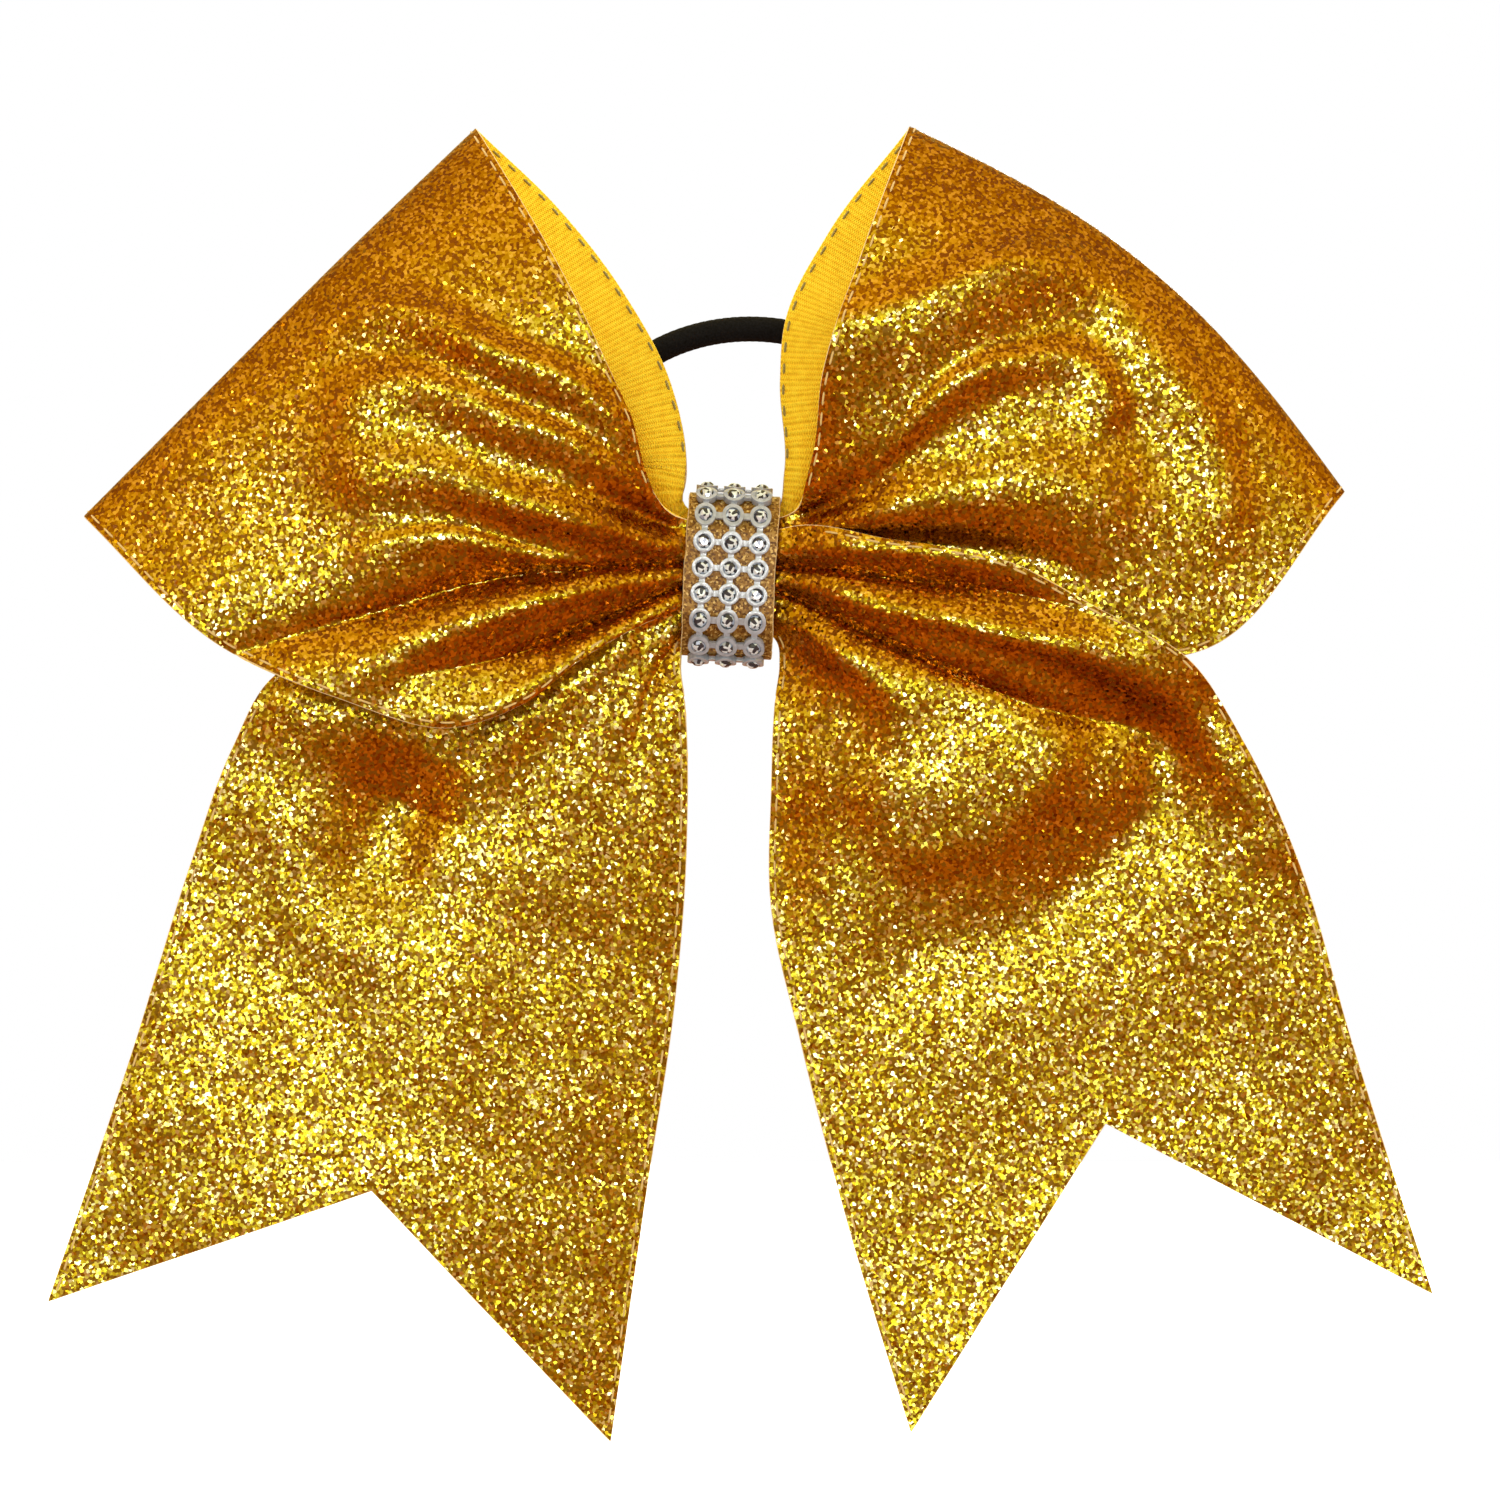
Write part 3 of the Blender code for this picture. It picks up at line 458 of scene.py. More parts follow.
def tube_faces(rings, sides, base=0):
    """The faces of a closed tube, whose points start at the base index."""
    faces = []
    for i in range(base, base + (rings - 1) * sides, sides):
        for j in range(sides):
            k = (j + 1) % sides
            faces.append((i + j, i + k, i + sides + k, i + sides + j))
    faces.append(tuple(base + j for j in reversed(range(sides))))
    faces.append(tuple(base + (rings - 1) * sides + j for j in range(sides)))
    return faces


def stitches(name, grid, normals, edge, sizes, first, last, material):
    """Running stitches beside one edge of a ribbon, from one row of its grid to another."""
    inset, dash, radius = sizes
    order = slice(None, None, -1 if edge else 1)
    rows, row_normals = grid[first:last, order], normals[first:last, order]
    steps = np.linalg.norm(np.diff(rows, axis=1), axis=2)
    reach = np.concatenate([np.zeros((len(rows), 1)), np.cumsum(steps, axis=1)], axis=1)
    line = np.array([sample(inset, *pair) for pair in zip(reach, rows)])
    up = unit(np.array([sample(inset, *pair) for pair in zip(reach, row_normals)]))
    s = curve_lengths(line)
    verts, faces = [], []
    # each stitch is a thread that arches out of the cloth, thinner where it dips in
    sides, rings = 6, 7
    arch = np.sin(np.linspace(0, math.pi, rings)) ** 0.5
    thick = radius * np.clip(0.45 + arch, 0, 1)
    for start in np.arange(0.4 * STITCH_PITCH, s[-1] - dash, STITCH_PITCH):
        stations = start + dash * np.linspace(0, 1, rings)
        n = sample(stations, s, up)
        p = sample(stations, s, line) + n * (PLY_INSET + PLY + (arch * 1.1 - 0.75) * radius)[:, None]
        forward = unit(np.gradient(p, axis=0))
        side = unit(np.cross(n, forward))
        faces += tube_faces(rings, sides, len(verts))
        verts.extend(tube_points(p, side, np.cross(forward, side), thick[:, None], sides))
    return mesh_object(name, verts, faces, [material])


class Nodes:
    """A small helper that adds linked nodes to a material or a world."""

    def __init__(self, owner):
        self.owner = owner
        owner.use_nodes = True
        self.tree = owner.node_tree

    def add(self, kind, links=None, **settings):
        node = self.tree.nodes.new("ShaderNode" + kind)
        for key, value in settings.items():
            if key.startswith("in_"):
                node.inputs[key[3:].replace("_", " ")].default_value = value
            else:
                setattr(node, key, value)
        for key, source in (links or {}).items():
            self.tree.links.new(source, node.inputs[key])
        return node

    def math(self, operation, *values, kind="Math", result=0):
        """The result of a calculation with sockets and plain values."""
        node = self.add(kind, operation=operation)
        for socket, value in zip(node.inputs, values):
            if isinstance(value, bpy.types.NodeSocket):
                self.tree.links.new(value, socket)
            else:
                socket.default_value = value
        return node.outputs[result]

    def vector(self, operation, *values, result=0):
        return self.math(operation, *values, kind="VectorMath", result=result)

    def wave(self, source, pitch):
        return self.math("SINE", self.math("MULTIPLY", source, 2 * math.pi / pitch))

    def noise(self, scale, detail):
        place = self.add("TexCoord").outputs["Object"]
        return self.add("TexNoise", {"Vector": place}, in_Scale=scale, in_Detail=detail).outputs["Fac"]

    def ramp(self, source, stops, interpolation="LINEAR"):
        node = self.add("ValToRGB", {"Fac": source})
        elements = node.color_ramp.elements
        node.color_ramp.interpolation = interpolation
        while len(elements) < len(stops):
            elements.new(0.5)
        for element, (position, colour) in zip(elements, stops):
            element.position = position
            element.color = (*colour, 1)
        return node.outputs["Color"]


class Material(Nodes):
    """The nodes of a new material, round its shader."""

    def __init__(self, name):
        super().__init__(bpy.data.materials.new(name))
        self.shader = self.tree.nodes["Principled BSDF"]

    def finish(self, links, **values):
        """Link the shader's inputs and set its plain values."""
        for key, source in links.items():
            self.tree.links.new(source, self.shader.inputs[key])
        for key, value in values.items():
            self.shader.inputs[key.replace("_", " ")].default_value = value
        return self.owner


def mottled_material(name, scale, detail, stops, bump=None, **values):
    """A colour that wanders with a fine noise, which can also be its bump, of a strength and a distance."""
    nodes = Material(name)
    noise = nodes.noise(scale, detail)
    links = {"Base Color": nodes.ramp(noise, stops)}
    if bump:
        raised = nodes.add("Bump", {"Height": noise}, in_Strength=bump[0], in_Distance=bump[1])
        links["Normal"] = raised.outputs["Normal"]
    return nodes.finish(links, **values)


def thread_material(name, colour):
    dark = tuple(c * 0.62 for c in colour)
    return mottled_material(name, 9000.0, 2.0, ((0.3, dark), (0.7, colour)), (0.5, 0.08 * MM), Roughness=0.75,
                            Sheen_Weight=0.25, Sheen_Roughness=0.4)


def flakes(nodes, scale, tilt):
    """A random number per flake, and the surface normal tipped at random for each: most lie nearly flat."""
    place = nodes.add("TexCoord").outputs["Object"]
    cells = nodes.add("TexVoronoi", {"Vector": place}, voronoi_dimensions="3D", feature="F1", in_Scale=scale,
                      in_Randomness=1.0)
    chance = cells.outputs["Color"]
    centred = nodes.vector("SUBTRACT", chance, (0.5, 0.5, 0.5))
    reach = nodes.vector("LENGTH", centred, result="Value")
    amount = nodes.math("MULTIPLY", nodes.math("POWER", reach, 1.7), tilt)
    tipped = nodes.add("VectorMath", {0: centred, "Scale": amount}, operation="SCALE").outputs[0]
    surface = nodes.add("NewGeometry").outputs["Normal"]
    normal = nodes.vector("NORMALIZE", nodes.vector("ADD", surface, tipped))
    other = nodes.add("TexWhiteNoise", {"Vector": chance}, noise_dimensions="3D").outputs["Color"]
    return nodes.add("SeparateColor", {"Color": other}).outputs["Red"], normal


GOLD_FLAKES = (
    (0.0, (0.20, 0.085, 0.001)),
    (0.24, (0.42, 0.28, 0.008)),
    (0.44, (0.61, 0.51, 0.03)),
    (0.66, (0.81, 0.76, 0.14)),
    (0.86, (1.0, 0.99, 0.60)),
)
GLUED_FLAKES = (
    (0.0, (0.13, 0.05, 0.005)),
    (0.22, (0.24, 0.11, 0.014)),
    (0.55, (0.36, 0.20, 0.04)),
    (0.88, (0.66, 0.45, 0.14)),
)


# the tint by view angle, from face on to steep: steep slopes go darker and more orange, partly the orange dye below
# showing through and partly painted shade for the shade in deep slits
DYE_AND_PAINTED_SHADE_TINT = ((0.07, (0.93, 1.0, 1.0)), (0.28, (1.0, 0.78, 0.45)), (0.55, (1.0, 0.60, 0.25)), (0.85, (0.72, 0.36, 0.12)),
           (1.0, (0.6, 0.28, 0.08)))


def glitter_material(name, stops=GOLD_FLAKES, dye_and_shade_tint=DYE_AND_PAINTED_SHADE_TINT, scale=2400, tilt=1.25, roughness=0.2, metal=1.0,
                     coat=0.0):
    """Gold flakes over a dyed orange film. The dullest flakes are the film itself, which is hardly metal."""
    nodes = Material(name)
    chance, normal = flakes(nodes, scale, tilt)
    colour = nodes.ramp(chance, stops, "CONSTANT")
    # painted shade: the view-angle tint darkens steep slopes and turns them orange
    if dye_and_shade_tint:
        steep = nodes.add("LayerWeight", in_Blend=0.9).outputs["Facing"]
        tinted = nodes.add("Mix", {6: colour, 7: nodes.ramp(steep, dye_and_shade_tint)}, data_type="RGBA", blend_type="MULTIPLY",
                           in_Factor=1)
        colour = tinted.outputs[2]
    film = ((0.0, (0.3, 0.3, 0.3)), (stops[1][0], (metal, metal, metal)))
    links = {"Base Color": colour, "Metallic": nodes.ramp(chance, film, "CONSTANT"), "Normal": normal}
    return nodes.finish(links, Roughness=roughness, Coat_Weight=coat, Coat_Roughness=0.25, Specular_IOR_Level=0.2)


def grosgrain_material():
    """Fine ribs across the ribbon, with the warp's hairline grooves between them, and wrinkles beside the knot."""
    nodes = Material("yellow_grosgrain")
    ribbon = nodes.add("SeparateXYZ", {"Vector": nodes.add("UVMap", uv_map="Ribbon").outputs["UV"]})
    run, across = ribbon.outputs["X"], ribbon.outputs["Y"]
    ribs = nodes.wave(run, RIB_PITCH)
    weave = nodes.math("MULTIPLY_ADD", nodes.wave(across, WARP_PITCH), ribs, ribs)
    mixed = nodes.math("MULTIPLY_ADD", weave, 0.22, nodes.noise(900.0, 4.0))
    stops = ((0.25, (0.84, 0.47, 0.004)), (0.5, (0.96, 0.61, 0.01)), (0.8, (1.0, 0.70, 0.025)))
    ribbed = nodes.add("Bump", {"Height": weave}, in_Strength=0.8, in_Distance=0.06 * MM)
    wrinkle = nodes.wave(nodes.math("MULTIPLY_ADD", nodes.noise(160.0, 1.0), 1.6 * WRINKLE_PITCH, run), WRINKLE_PITCH)
    place = nodes.add("TexCoord").outputs["Object"]
    away = nodes.vector("DISTANCE", place, SQUEEZED_AT, result="Value")
    near = nodes.add("MapRange", {"Value": away}, in_From_Min=SQUEEZED_FROM, in_From_Max=SQUEEZED_TO, in_To_Min=1.0,
                     in_To_Max=0.0)
    squeezed = nodes.math("MULTIPLY", wrinkle, near.outputs["Result"])
    bump = nodes.add("Bump", {"Height": squeezed, "Normal": ribbed.outputs["Normal"]}, in_Strength=1.0,
                     in_Distance=0.06 * MM)
    links = {"Base Color": nodes.ramp(mixed, stops), "Normal": bump.outputs["Normal"]}
    return nodes.finish(links, Roughness=0.65, Specular_IOR_Level=0.25, Sheen_Weight=0.12, Sheen_Roughness=0.35)


def stone_material():
    """Foil-backed crystal under a clear polished face, which partly mirrors the room. Its colour is painted
    reflections: random dark and bright patches.
    """
    nodes = Material("crystal")
    place = nodes.add("TexCoord").outputs["Object"]
    # painted reflections: random dark and bright patches in the stone's colour
    reflection_patches = nodes.add("TexVoronoi", {"Vector": place}, voronoi_dimensions="3D", in_Scale=1500.0)
    painted_reflection_level = nodes.add("SeparateColor", {"Color": reflection_patches.outputs["Color"]}).outputs["Red"]
    stops = ((0.0, (0.05, 0.055, 0.07)), (0.3, (0.40, 0.47, 0.58)), (0.42, (0.84, 0.95, 1.0)))
    return nodes.finish({"Base Color": nodes.ramp(painted_reflection_level, stops, "CONSTANT")}, Metallic=0.5, Roughness=0.06,
                        Coat_Weight=0.4, Coat_Roughness=0.02)


def build_looks():
    return {
        "glitter": glitter_material("gold_glitter"),
        "wrap": glitter_material("gold_glitter_under_glue", GLUED_FLAKES, None, 3400, 0.7, 0.4, 0.5, 0.25),
        "edge": thread_material("ribbon_edge", (0.86, 0.56, 0.20)),
        "grosgrain": grosgrain_material(),
        "lining": thread_material("wrap_lining_cloth", (0.93, 0.555, 0.02)),
        "face_thread": thread_material("face_thread", (0.74, 0.47, 0.14)),
        "back_thread": thread_material("back_thread", (0.34, 0.26, 0.05)),
        "silver": mottled_material(
            "silver_plating", 1500.0, 3.0, ((0.3, (0.34, 0.365, 0.40)), (0.7, (0.48, 0.51, 0.55))), (0.12, 0.1 * MM),
            Metallic=0.36, Roughness=0.23, Coat_Weight=0.7, Coat_Roughness=0.07),
        "stone": stone_material(),
        "elastic": mottled_material(
            "black_braid", 4000.0, 3.0, ((0.3, (0.002, 0.002, 0.002)), (0.75, (0.009, 0.009, 0.010))), (0.4, 0.1 * MM),
            Roughness=0.7, Specular_IOR_Level=0.12),
        "glue": mottled_material("hot_glue", 700.0, 2.0, ((0.3, (0.72, 0.55, 0.28)), (0.7, (0.9, 0.8, 0.55))),
                                 Roughness=0.18, Coat_Weight=0.5),
        "floor": mottled_material("pale_floor", 3.0, 2.0, ((0.3, (0.9, 0.9, 0.9)), (0.7, (0.93, 0.93, 0.93))),
                                  Roughness=0.9, Emission_Color=(1, 1, 1, 1), Emission_Strength=0.75),
    }


def ride_all(pieces, body):
    for piece in pieces:
        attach(piece, body)


def two_plies(name, grid, normals, places, looks, open_rows=()):
    """The glitter and grosgrain plies of a stretch of ribbon, in place of the frame's."""
    face = ply(name + "_face", grid, normals, PLY_INSET, PLY_INSET + PLY, [looks["glitter"], looks["edge"]], places,
               open_rows)
    back = ply(name + "_back", grid, normals, -PLY_INSET, -PLY_INSET - PLY, [looks["grosgrain"]] * 2, places, open_rows)
    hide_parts(name + "_glitter")
    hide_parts(name + "_grosgrain")
    return face, back


def sew(name, grid, normals, looks, first, last):
    """The stitches of both edges, light on the glitter side and darker on the grosgrain side."""
    return [
        stitches(f"{name}_stitch_{label}_{side}", grid, normals * sign, edge, STITCHES[side], first, last,
                 looks[side + "_thread"])
        for edge, label in enumerate(("low", "top"))
        for side, sign in (("face", 1), ("back", -1))
    ]


def from_top_edge(grid):
    """The distance along a loop's top edge, and away from it, of each of its points, each half to its own edge."""
    edge = grid[:, -1]
    reach = curve_lengths(edge)
    heading = unit(np.gradient(edge, axis=0))
    half = len(grid) // 2
    places = np.zeros((*grid.shape[:2], 2))
    for rows in (slice(0, half + 1), slice(half, None)):
        spots = grid[rows].reshape(-1, 3)
        gaps = np.linalg.norm(spots[:, None, :] - edge[rows][None, :, :], axis=2)
        nearest = gaps.argmin(axis=1)
        offset = spots - edge[rows][nearest]
        run = (offset * heading[rows][nearest]).sum(axis=1)
        across = np.sqrt(np.maximum((offset * offset).sum(axis=1) - run * run, 0))
        places[rows] = np.stack([reach[rows][nearest] + run, across], axis=1).reshape(*grid[rows].shape[:2], 2)
    return places


def from_row(grid, first):
    """The distance along each column from one row, and across the ribbon, of each point."""
    steps = np.linalg.norm(np.diff(grid, axis=0), axis=2)
    reach = np.concatenate([np.zeros((1, grid.shape[1])), steps.cumsum(axis=0)])
    across = np.linspace(0, RIBBON_WIDTH, grid.shape[1])
    return np.stack(np.broadcast_arrays(reach - reach[first], across[None, :]), axis=2)


def build_loops(looks):
    bow = CREASE_BOW * np.array(CREASE_BOW_TOWARD)
    specs = (
        ("left", LEFT_LOOP, FRONT_Y, 0, np.zeros(2), LEFT_LOOP_FOLDS, LEFT_LOOP_FOLDS, 3, -1),
        ("right", RIGHT_LOOP, MIDDLE_Y, 5 * MM, bow, RIGHT_LOOP_FOLDS, RIGHT_TAIL_FOLDS[:5], 8, 1),
    )
    for side, outline, front_y, yields, bend, folds, shared, seed, sign in specs:
        grid = loop_grid(outline, front_y, yields, bend, folds, shared, seed)
        normals = grid_normals(grid)
        normals *= -np.sign(normals[:len(grid) // 3, :, 1].mean())
        for piece in two_plies(f"{side}_loop", grid, normals, from_top_edge(grid), looks):
            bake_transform(piece)
        ride_all(sew(f"{side}_loop", grid, normals, looks, 9, len(grid) - 9), f"{side}_side")


def build_tails(looks):
    specs = (
        ("left", LEFT_TAIL, left_tail_depth, LEFT_TAIL_FOLDS, LEFT_LOOP_FOLDS[3:], 5, -1),
        ("right", RIGHT_TAIL, right_tail_depth, RIGHT_TAIL_FOLDS, (), 12, 1),
    )
    for side, outline, depth_at, folds, shared, seed, sign in specs:
        grid, seam = tail_grid(outline, depth_at, folds, shared, seed)
        places = from_row(grid, seam)
        normals = grid_normals(grid)
        normals *= -np.sign(normals[:, :, 1].mean())
        fold = {"start": (0, 0, FOLD_Z + FOLD_HALF), "end": (0, 0, FOLD_Z - FOLD_HALF)}
        beside = {"start": (sign * BEND_FROM, 0, 0), "end": (sign * TAIL_BEND_TO, 0, 0)}
        stretches = (
            ("tail_top", slice(0, seam + 1), -1, "knot", f"{side}_side", beside),
            ("tail", slice(seam, None), 0, f"{side}_side", f"{side}_tail", fold),
        )
        for name, rows, open_row, near_body, far_body, bend in stretches:
            for piece in two_plies(f"{side}_{name}", grid[rows], normals[rows], places[rows], looks, (open_row,)):
                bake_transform(piece)
        ride_all(sew(f"{side}_tail_top", grid, normals, looks, 8, seam - 1), f"{side}_side")
        for piece in sew(f"{side}_tail", grid, normals, looks, seam + 1, len(grid) - 1):
            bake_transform(piece)


def around(s, radius):
    """The (y, z) place and outward normal at an arc length s from the wrap's front centre, up being positive."""
    side = 1 if s >= 0 else -1
    run = abs(s)
    turn = math.pi * WRAP_RADIUS
    if run <= WRAP_HALF_STRAIGHT:
        place, normal = (KNOT_Y - radius, s), (-1, 0)
    elif run <= WRAP_HALF_STRAIGHT + turn:
        angle = (run - WRAP_HALF_STRAIGHT) / WRAP_RADIUS
        normal = (-math.cos(angle), side * math.sin(angle))
        place = (KNOT_Y + radius * normal[0], side * WRAP_HALF_STRAIGHT + radius * normal[1])
    else:
        left_over = run - WRAP_HALF_STRAIGHT - turn
        place, normal = (KNOT_Y + radius, side * (WRAP_HALF_STRAIGHT - left_over)), (1, 0)
    return np.array(place), np.array(normal)


def tilted(piece):
    """The wrap and its net lean a little in the front view."""
    piece.data.transform(Matrix.Rotation(WRAP_TILT, 4, "Y"))
    return piece


def build_wrap(looks):
    turn = math.pi * WRAP_RADIUS
    corner = WRAP_HALF_STRAIGHT + turn
    start = -(corner + WRAP_HALF_STRAIGHT + WRAP_START_Z)
    end = corner + WRAP_HALF_STRAIGHT + WRAP_END_Z
    stations = np.linspace(start, end, 150)
    across = np.linspace(-WRAP_WIDTH / 2, WRAP_WIDTH / 2, 25)
    grid = np.zeros((len(stations), len(across), 3))
    normals = np.zeros_like(grid)
    draw = np.random.default_rng(4)
    wobble = np.convolve(draw.normal(0, 1, len(stations) + 20), np.ones(21) / 21, "valid") * WRAP_WOBBLE
    for i, s in enumerate(stations):
        rise = smooth_step((s - WRAP_HALF_STRAIGHT - LAP_FROM * turn) / ((1 - LAP_FROM) * turn))
        place, normal = around(s, WRAP_RADIUS - WRAP_PLY / 2 + LAP_RISE * rise)
        grid[i, :, 0], grid[i, :, 1], grid[i, :, 2] = across + wobble[i], place[0], place[1]
        normals[i, :, 1], normals[i, :, 2] = normal
    wrap = ply("centre_wrap_band", grid, normals, -WRAP_PLY / 2, WRAP_PLY / 2, [looks["wrap"], looks["edge"]],
               from_row(grid, 0))
    tilted(wrap)
    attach(wrap, "knot")
    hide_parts("centre_wrap")


def flat_shapes(name, shapes):
    """Boxes, and cups of a radius and a height, in one object."""
    bm = bmesh.new()
    for kind, centre, size in shapes:
        at = Matrix.Translation(centre)
        if kind == "box":
            bmesh.ops.create_cube(bm, size=1, matrix=at @ Matrix.Diagonal((*size, 1)))
        else:
            bmesh.ops.create_cone(bm, cap_ends=True, segments=CUP_SIDES, radius1=size[0], radius2=size[0],
                                  depth=size[1], matrix=at)
    mesh = bpy.data.meshes.new(name)
    bm.to_mesh(mesh)
    bm.free()
    return add_object(name, mesh)


def stone_places():
    for row in range(ROWS):
        for column in range(COLUMNS):
            yield row, column, FIRST_ROW - row * ROW_PITCH, (column - 1) * COLUMN_PITCH


def build_net(looks):
    last = FIRST_ROW - (ROWS - 1) * ROW_PITCH
    middle, length = (FIRST_ROW + last) / 2, FIRST_ROW - last
    bar_centre, bar_height = (BAR_LOW + BAR_HIGH) / 2, BAR_HIGH - BAR_LOW
    long_bars = [("box", (i * COLUMN_PITCH, middle, bar_centre), (BAR_WIDTH, length, bar_height)) for i in (-1, 0, 1)]
    cross_bars = [("box", (0, FIRST_ROW - row * ROW_PITCH, bar_centre + 0.02 * MM),
                   (2 * COLUMN_PITCH, BAR_WIDTH, bar_height)) for row in range(ROWS)]
    cups, bores = [], []
    for _, _, s, x in stone_places():
        cups.append(("cup", (x, s, CUP_BASE + CUP_HEIGHT / 2), (CUP_RADIUS, CUP_HEIGHT)))
        bores.append(("cup", (x, s, CUP_BASE + CUP_FLOOR + CUP_HEIGHT / 2), (CUP_BORE, CUP_HEIGHT)))
    flat = flat_shapes("rhinestone_mesh", cups)
    operands = (("long", long_bars, "UNION"), ("cross", cross_bars, "UNION"), ("bores", bores, "DIFFERENCE"))
    helpers = []
    for name, shapes, operation in operands:
        helper = flat_shapes("net_" + name, shapes)
        helpers.append(helper)
        cut = flat.modifiers.new(name, "BOOLEAN")
        cut.object, cut.operation = helper, operation
    rounding = flat.modifiers.new("rounding", "BEVEL")
    rounding.width, rounding.segments, rounding.limit_method = RIM_ROUND, 3, "ANGLE"
    rounding.angle_limit = math.radians(50)
    bpy.context.view_layer.update()
    evaluated = flat.evaluated_get(bpy.context.evaluated_depsgraph_get())
    mesh = bpy.data.meshes.new_from_object(evaluated)
    for helper in (flat, *helpers):
        bpy.data.objects.remove(helper)
    for vert in mesh.vertices:
        x, s, height = vert.co
        place, normal = around(s, WRAP_RADIUS)
        y, z = place + normal * height
        vert.co = (x, y, z)
    mesh.materials.clear()
    mesh.materials.append(looks["silver"])
    mesh.shade_smooth()
    mesh.set_sharp_from_angle(angle=math.radians(40))
    net = tilted(add_object("rhinestone_mesh", mesh))
    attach(net, "knot")
    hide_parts("rhinestone_net")


def stone_mesh(look):
    """A round-cut stone: an eight-sided table, a ring of kites and a sixteen-sided girdle."""
    bm = bmesh.new()
    rings = ((8, 0.5, 1.0, 0.5), (8, 0.8, 0.66, 0), (16, 1.0, 0.2, 0.5), (16, 1.0, 0.0, 0.5), (8, 0.5, -0.35, 0.5))
    for count, share, level, shift in rings:
        for k in range(count):
            angle = 2 * math.pi * (k + shift) / count
            radius = STONE_RADIUS * share
            bm.verts.new((radius * math.cos(angle), radius * math.sin(angle), STONE_HEIGHT * level))
    bmesh.ops.convex_hull(bm, input=bm.verts)
    mesh = bpy.data.meshes.new("cut_stone")
    bm.to_mesh(mesh)
    bm.free()
    mesh.materials.append(look)
    return mesh


def build_stones(looks):
    shared = stone_mesh(looks["stone"])
    draw = np.random.default_rng(21)
    for row, column, s, x in stone_places():
        place, normal = around(s, WRAP_RADIUS)
        y, z = place + normal * (CUP_BASE + CUP_FLOOR + STONE_LIFT)
        facing = Vector((0, normal[0], normal[1])).to_track_quat("Z", "X").to_matrix().to_4x4()
        tips = [Matrix.Rotation(draw.uniform(-STONE_TIP, STONE_TIP), 4, axis) for axis in "XY"]
        turn = Matrix.Rotation(draw.uniform(0, math.pi), 4, "Z")
        stone = add_object(f"stone_{row + 1}_{column + 1}", shared)
        tilt = Matrix.Rotation(WRAP_TILT, 4, "Y")
        stone.matrix_world = tilt @ Matrix.Translation((x, y, z)) @ facing @ tips[0] @ tips[1] @ turn
        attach(stone, "knot")
        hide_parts(f"rhinestone_{row + 1}_{column + 1}")


def elastic_path(count, gap):
    """Points round the elastic from its joint, which sits inside the wrap, leaving a gap either side of it."""
    points = []
    clear = gap / ELASTIC_HALF_WIDTH
    for angle in np.linspace(clear, 2 * math.pi - clear, count):
        x = ELASTIC_HALF_WIDTH * math.sin(angle)
        rise = ELASTIC_HALF_HEIGHT * (1 - math.cos(angle)) - ELASTIC_FLAT
        rise = (rise + math.sqrt(rise * rise + ELASTIC_EASE**2)) / 2
        sideways = ELASTIC_X * min(1, rise / ELASTIC_HALF_HEIGHT)
        points.append((x + sideways, ELASTIC_Y + rise * math.sin(ELASTIC_LEAN), rise * math.cos(ELASTIC_LEAN)))
    return np.array(points)


def build_elastic(looks):
    path = elastic_path(521, 1.6 * MM)
    s = curve_lengths(path)
    forward = unit(np.gradient(path, axis=0))
    ring_normal = np.array((0, -math.cos(ELASTIC_LEAN), math.sin(ELASTIC_LEAN)))
    outward = unit(np.cross(forward, ring_normal))
    sides = 56
    phi = BRAID_STRANDS * np.linspace(0, 2 * math.pi, sides, endpoint=False)[None, :]
    turn = 2 * math.pi / BRAID_PITCH * s[:, None]
    radius = ELASTIC_RADIUS + np.maximum(np.cos(phi + turn), np.cos(phi - turn)) * BRAID_RISE
    verts = tube_points(path, outward, np.cross(forward, outward), radius, sides)
    elastic = mesh_object("hair_elastic_braid", verts, tube_faces(len(path), sides), [looks["elastic"]])
    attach(elastic, "hair_elastic")
    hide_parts("elastic_cover", "elastic_core")


def dress_frame(looks):
    """Better materials for the CAD nodes that stay."""
    chosen = {
        "gathered_front": "glitter", "gathered_middle": "glitter", "gathered_back": "glitter",
        "wrap_lining": "lining", "gathering_thread": "face_thread", "glue_bead_upper": "glue",
        "glue_bead_lower": "glue", "elastic_joint": "elastic",
    }
    for name, look in chosen.items():
        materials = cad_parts[name].data.materials
        materials.clear()
        materials.append(looks[look])


# the room: its light by height, from straight down to straight up, and a glow round one direction, by the cosine
# of the angle from it. It is the same behind the bow as before it.
ROOM_BY_HEIGHT = (
    (-1.0, (0.37, 0.10, 0.005)),
    (-0.15, (0.49, 0.138, 0.007)),
    (0.05, (0.54, 0.225, 0.022)),
    (0.4, (0.80, 0.54, 0.07)),
    (1.0, (0.95, 0.70, 0.16)),
)
SOFT_LIGHT = (1.1, 1.06, 1.0)
GLOW_TOWARD = (-0.04, -0.98, 0.14)
GLOW = (
    (0.78, (0.0, 0.0, 0.0)),
    (0.91, (0.06, 0.09, 0.06)),
    (0.97, (0.30, 0.40, 0.30)),
    (0.995, (0.84, 1.0, 0.84)),
)
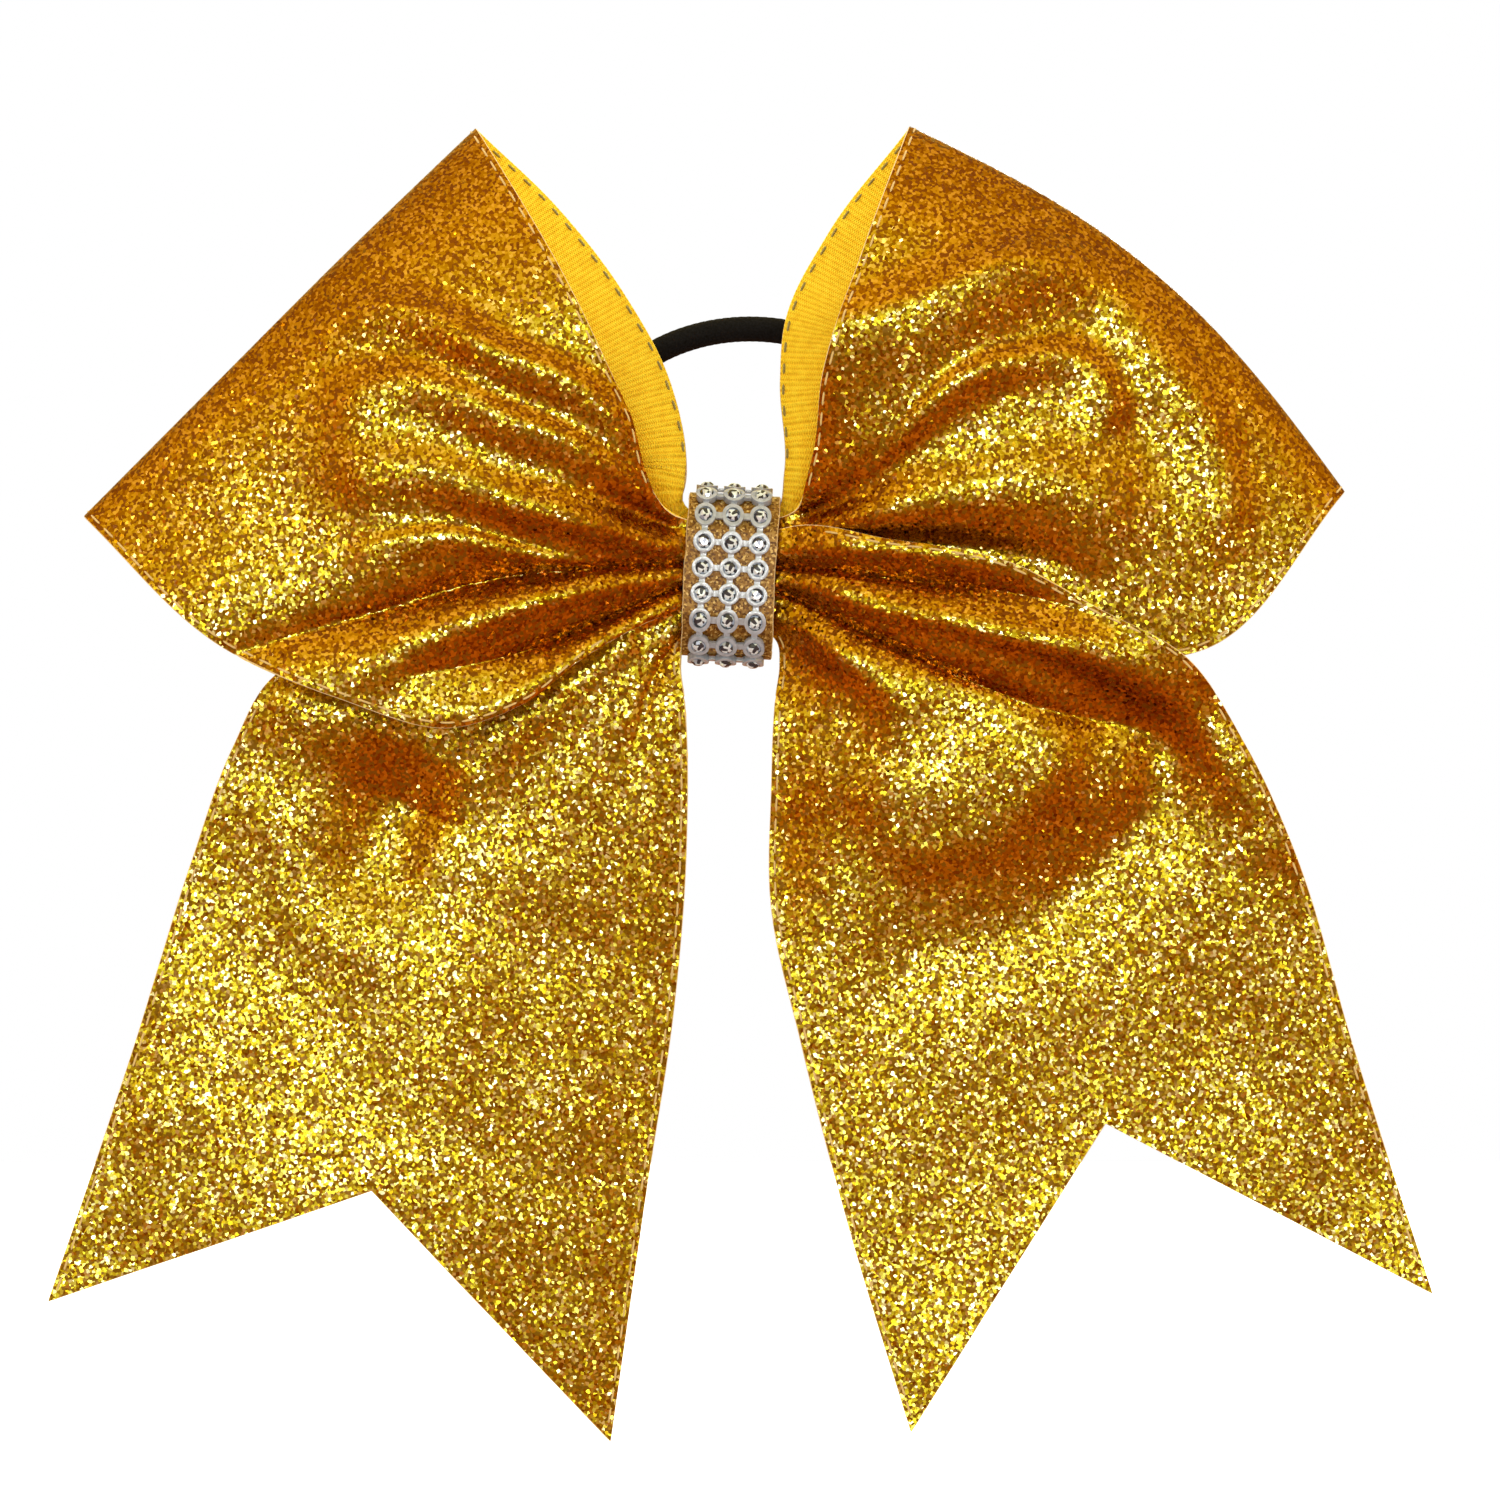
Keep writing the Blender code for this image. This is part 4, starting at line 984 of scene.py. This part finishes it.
# each light's name, place, size and power, and whether shiny surfaces mirror it
LIGHTS = (
    ("key", (-0.24, -1.25, 0.18), (0.15, 0.15), 0.6, True),
    ("high", (0.12, -1.2, 0.36), (0.15, 0.15), 0.5, True),
    ("side", (0.34, -1.2, 0.12), (0.13, 0.13), 0.45, True),
    ("low", (0.05, -1.3, 0.04), (0.12, 0.12), 0.45, True),
    ("left", (-0.5, -1.1, 0.3), (0.15, 0.15), 0.45, True),
    ("rear", (0.2, 1.25, 0.3), (0.2, 0.2), 0.8, True),
    ("overhead", (0.0, 0.15, 1.3), (0.9, 0.6), 11.0, False),
    ("rear_overhead", (0.0, 1.1, 0.9), (0.9, 0.5), 6.0, False),
    ("flank_left", (-1.25, -0.4, 0.3), (0.5, 0.5), 6.0, False),
    ("flank_right", (1.25, -0.4, 0.3), (0.5, 0.5), 6.0, False),
)
LENS, SENSOR = 150, 36
VIEW_CENTRE, VIEW_WIDTH = (2.8 * MM, -12 * MM, -24.5 * MM), 210 * MM


def build_world():
    """White to the camera, soft white on dull surfaces, and the golden room in what mirrors it."""
    nodes = Nodes(bpy.data.worlds.new("studio"))
    nodes.tree.nodes.clear()
    split = nodes.add("SeparateXYZ", {0: nodes.add("TexCoord").outputs["Generated"]})
    forward = nodes.math("MULTIPLY", nodes.math("ABSOLUTE", split.outputs["Y"]), -1)
    folded = nodes.add("CombineXYZ", {"X": split.outputs["X"], "Y": forward, "Z": split.outputs["Z"]}).outputs[0]
    toward = nodes.vector("DOT_PRODUCT", folded, Vector(GLOW_TOWARD).normalized(), result="Value")
    parts = []
    for table, cosine in ((ROOM_BY_HEIGHT, split.outputs["Z"]), (GLOW, toward)):
        share = nodes.add("MapRange", {"Value": cosine}, in_From_Min=-1).outputs["Result"]
        parts.append(nodes.ramp(share, [((level + 1) / 2, colour) for level, colour in table]))
    room = nodes.add("Background", {"Color": nodes.vector("ADD", *parts)})
    soft = nodes.add("Background", in_Color=(*SOFT_LIGHT, 1))
    white = nodes.add("Background", in_Color=(1, 1, 1, 1))
    ray = nodes.add("LightPath").outputs
    lit = nodes.add("MixShader", {"Fac": ray["Is Diffuse Ray"], 1: room.outputs[0], 2: soft.outputs[0]})
    seen = nodes.add("MixShader", {"Fac": ray["Is Camera Ray"], 1: lit.outputs[0], 2: white.outputs[0]})
    nodes.add("OutputWorld", {"Surface": seen.outputs[0]})
    return nodes.owner


def build_studio(looks):
    scene = bpy.context.scene
    low, high = cad_box
    lens = bpy.data.cameras.new("camera")
    lens.lens, lens.sensor_width = LENS, SENSOR
    lens.clip_start, lens.clip_end = 0.01, 50
    camera = add_object("camera", lens)
    camera.location = Vector(VIEW_CENTRE) - Vector((0, VIEW_WIDTH * LENS / SENSOR, 0))
    camera.rotation_euler = (math.radians(90), 0, 0)
    scene.camera = camera

    bpy.ops.mesh.primitive_plane_add(size=1.2, location=(0, 0, low.z - 1.0 * MM))
    floor = bpy.context.object
    floor.name = "floor"
    floor.data.materials.append(looks["floor"])
    floor.visible_glossy = False
    floor.visible_diffuse = False

    for name, place, size, power, mirrored in LIGHTS:
        light = bpy.data.lights.new(name, "AREA")
        light.shape, light.energy = "RECTANGLE", power
        light.size, light.size_y = size
        lamp = add_object(name, light)
        lamp.location = place
        lamp.rotation_mode = "QUATERNION"
        lamp.rotation_quaternion = ((low + high) / 2 - Vector(place)).to_track_quat("-Z", "Y")
        lamp.visible_camera = False
        lamp.visible_glossy = mirrored
    scene.world = build_world()
    scene.view_settings.view_transform = "Standard"


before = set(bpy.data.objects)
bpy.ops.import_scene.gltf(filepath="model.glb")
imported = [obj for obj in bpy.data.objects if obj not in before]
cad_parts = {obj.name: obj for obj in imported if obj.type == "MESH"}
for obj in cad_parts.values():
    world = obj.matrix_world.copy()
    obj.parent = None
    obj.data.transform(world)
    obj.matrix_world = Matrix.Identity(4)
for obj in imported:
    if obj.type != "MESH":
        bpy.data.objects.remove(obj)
cad_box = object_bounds()
LOOKS = build_looks()
build_studio(LOOKS)
build_elastic(LOOKS)
build_loops(LOOKS)
build_tails(LOOKS)
build_wrap(LOOKS)
build_net(LOOKS)
build_stones(LOOKS)
dress_frame(LOOKS)
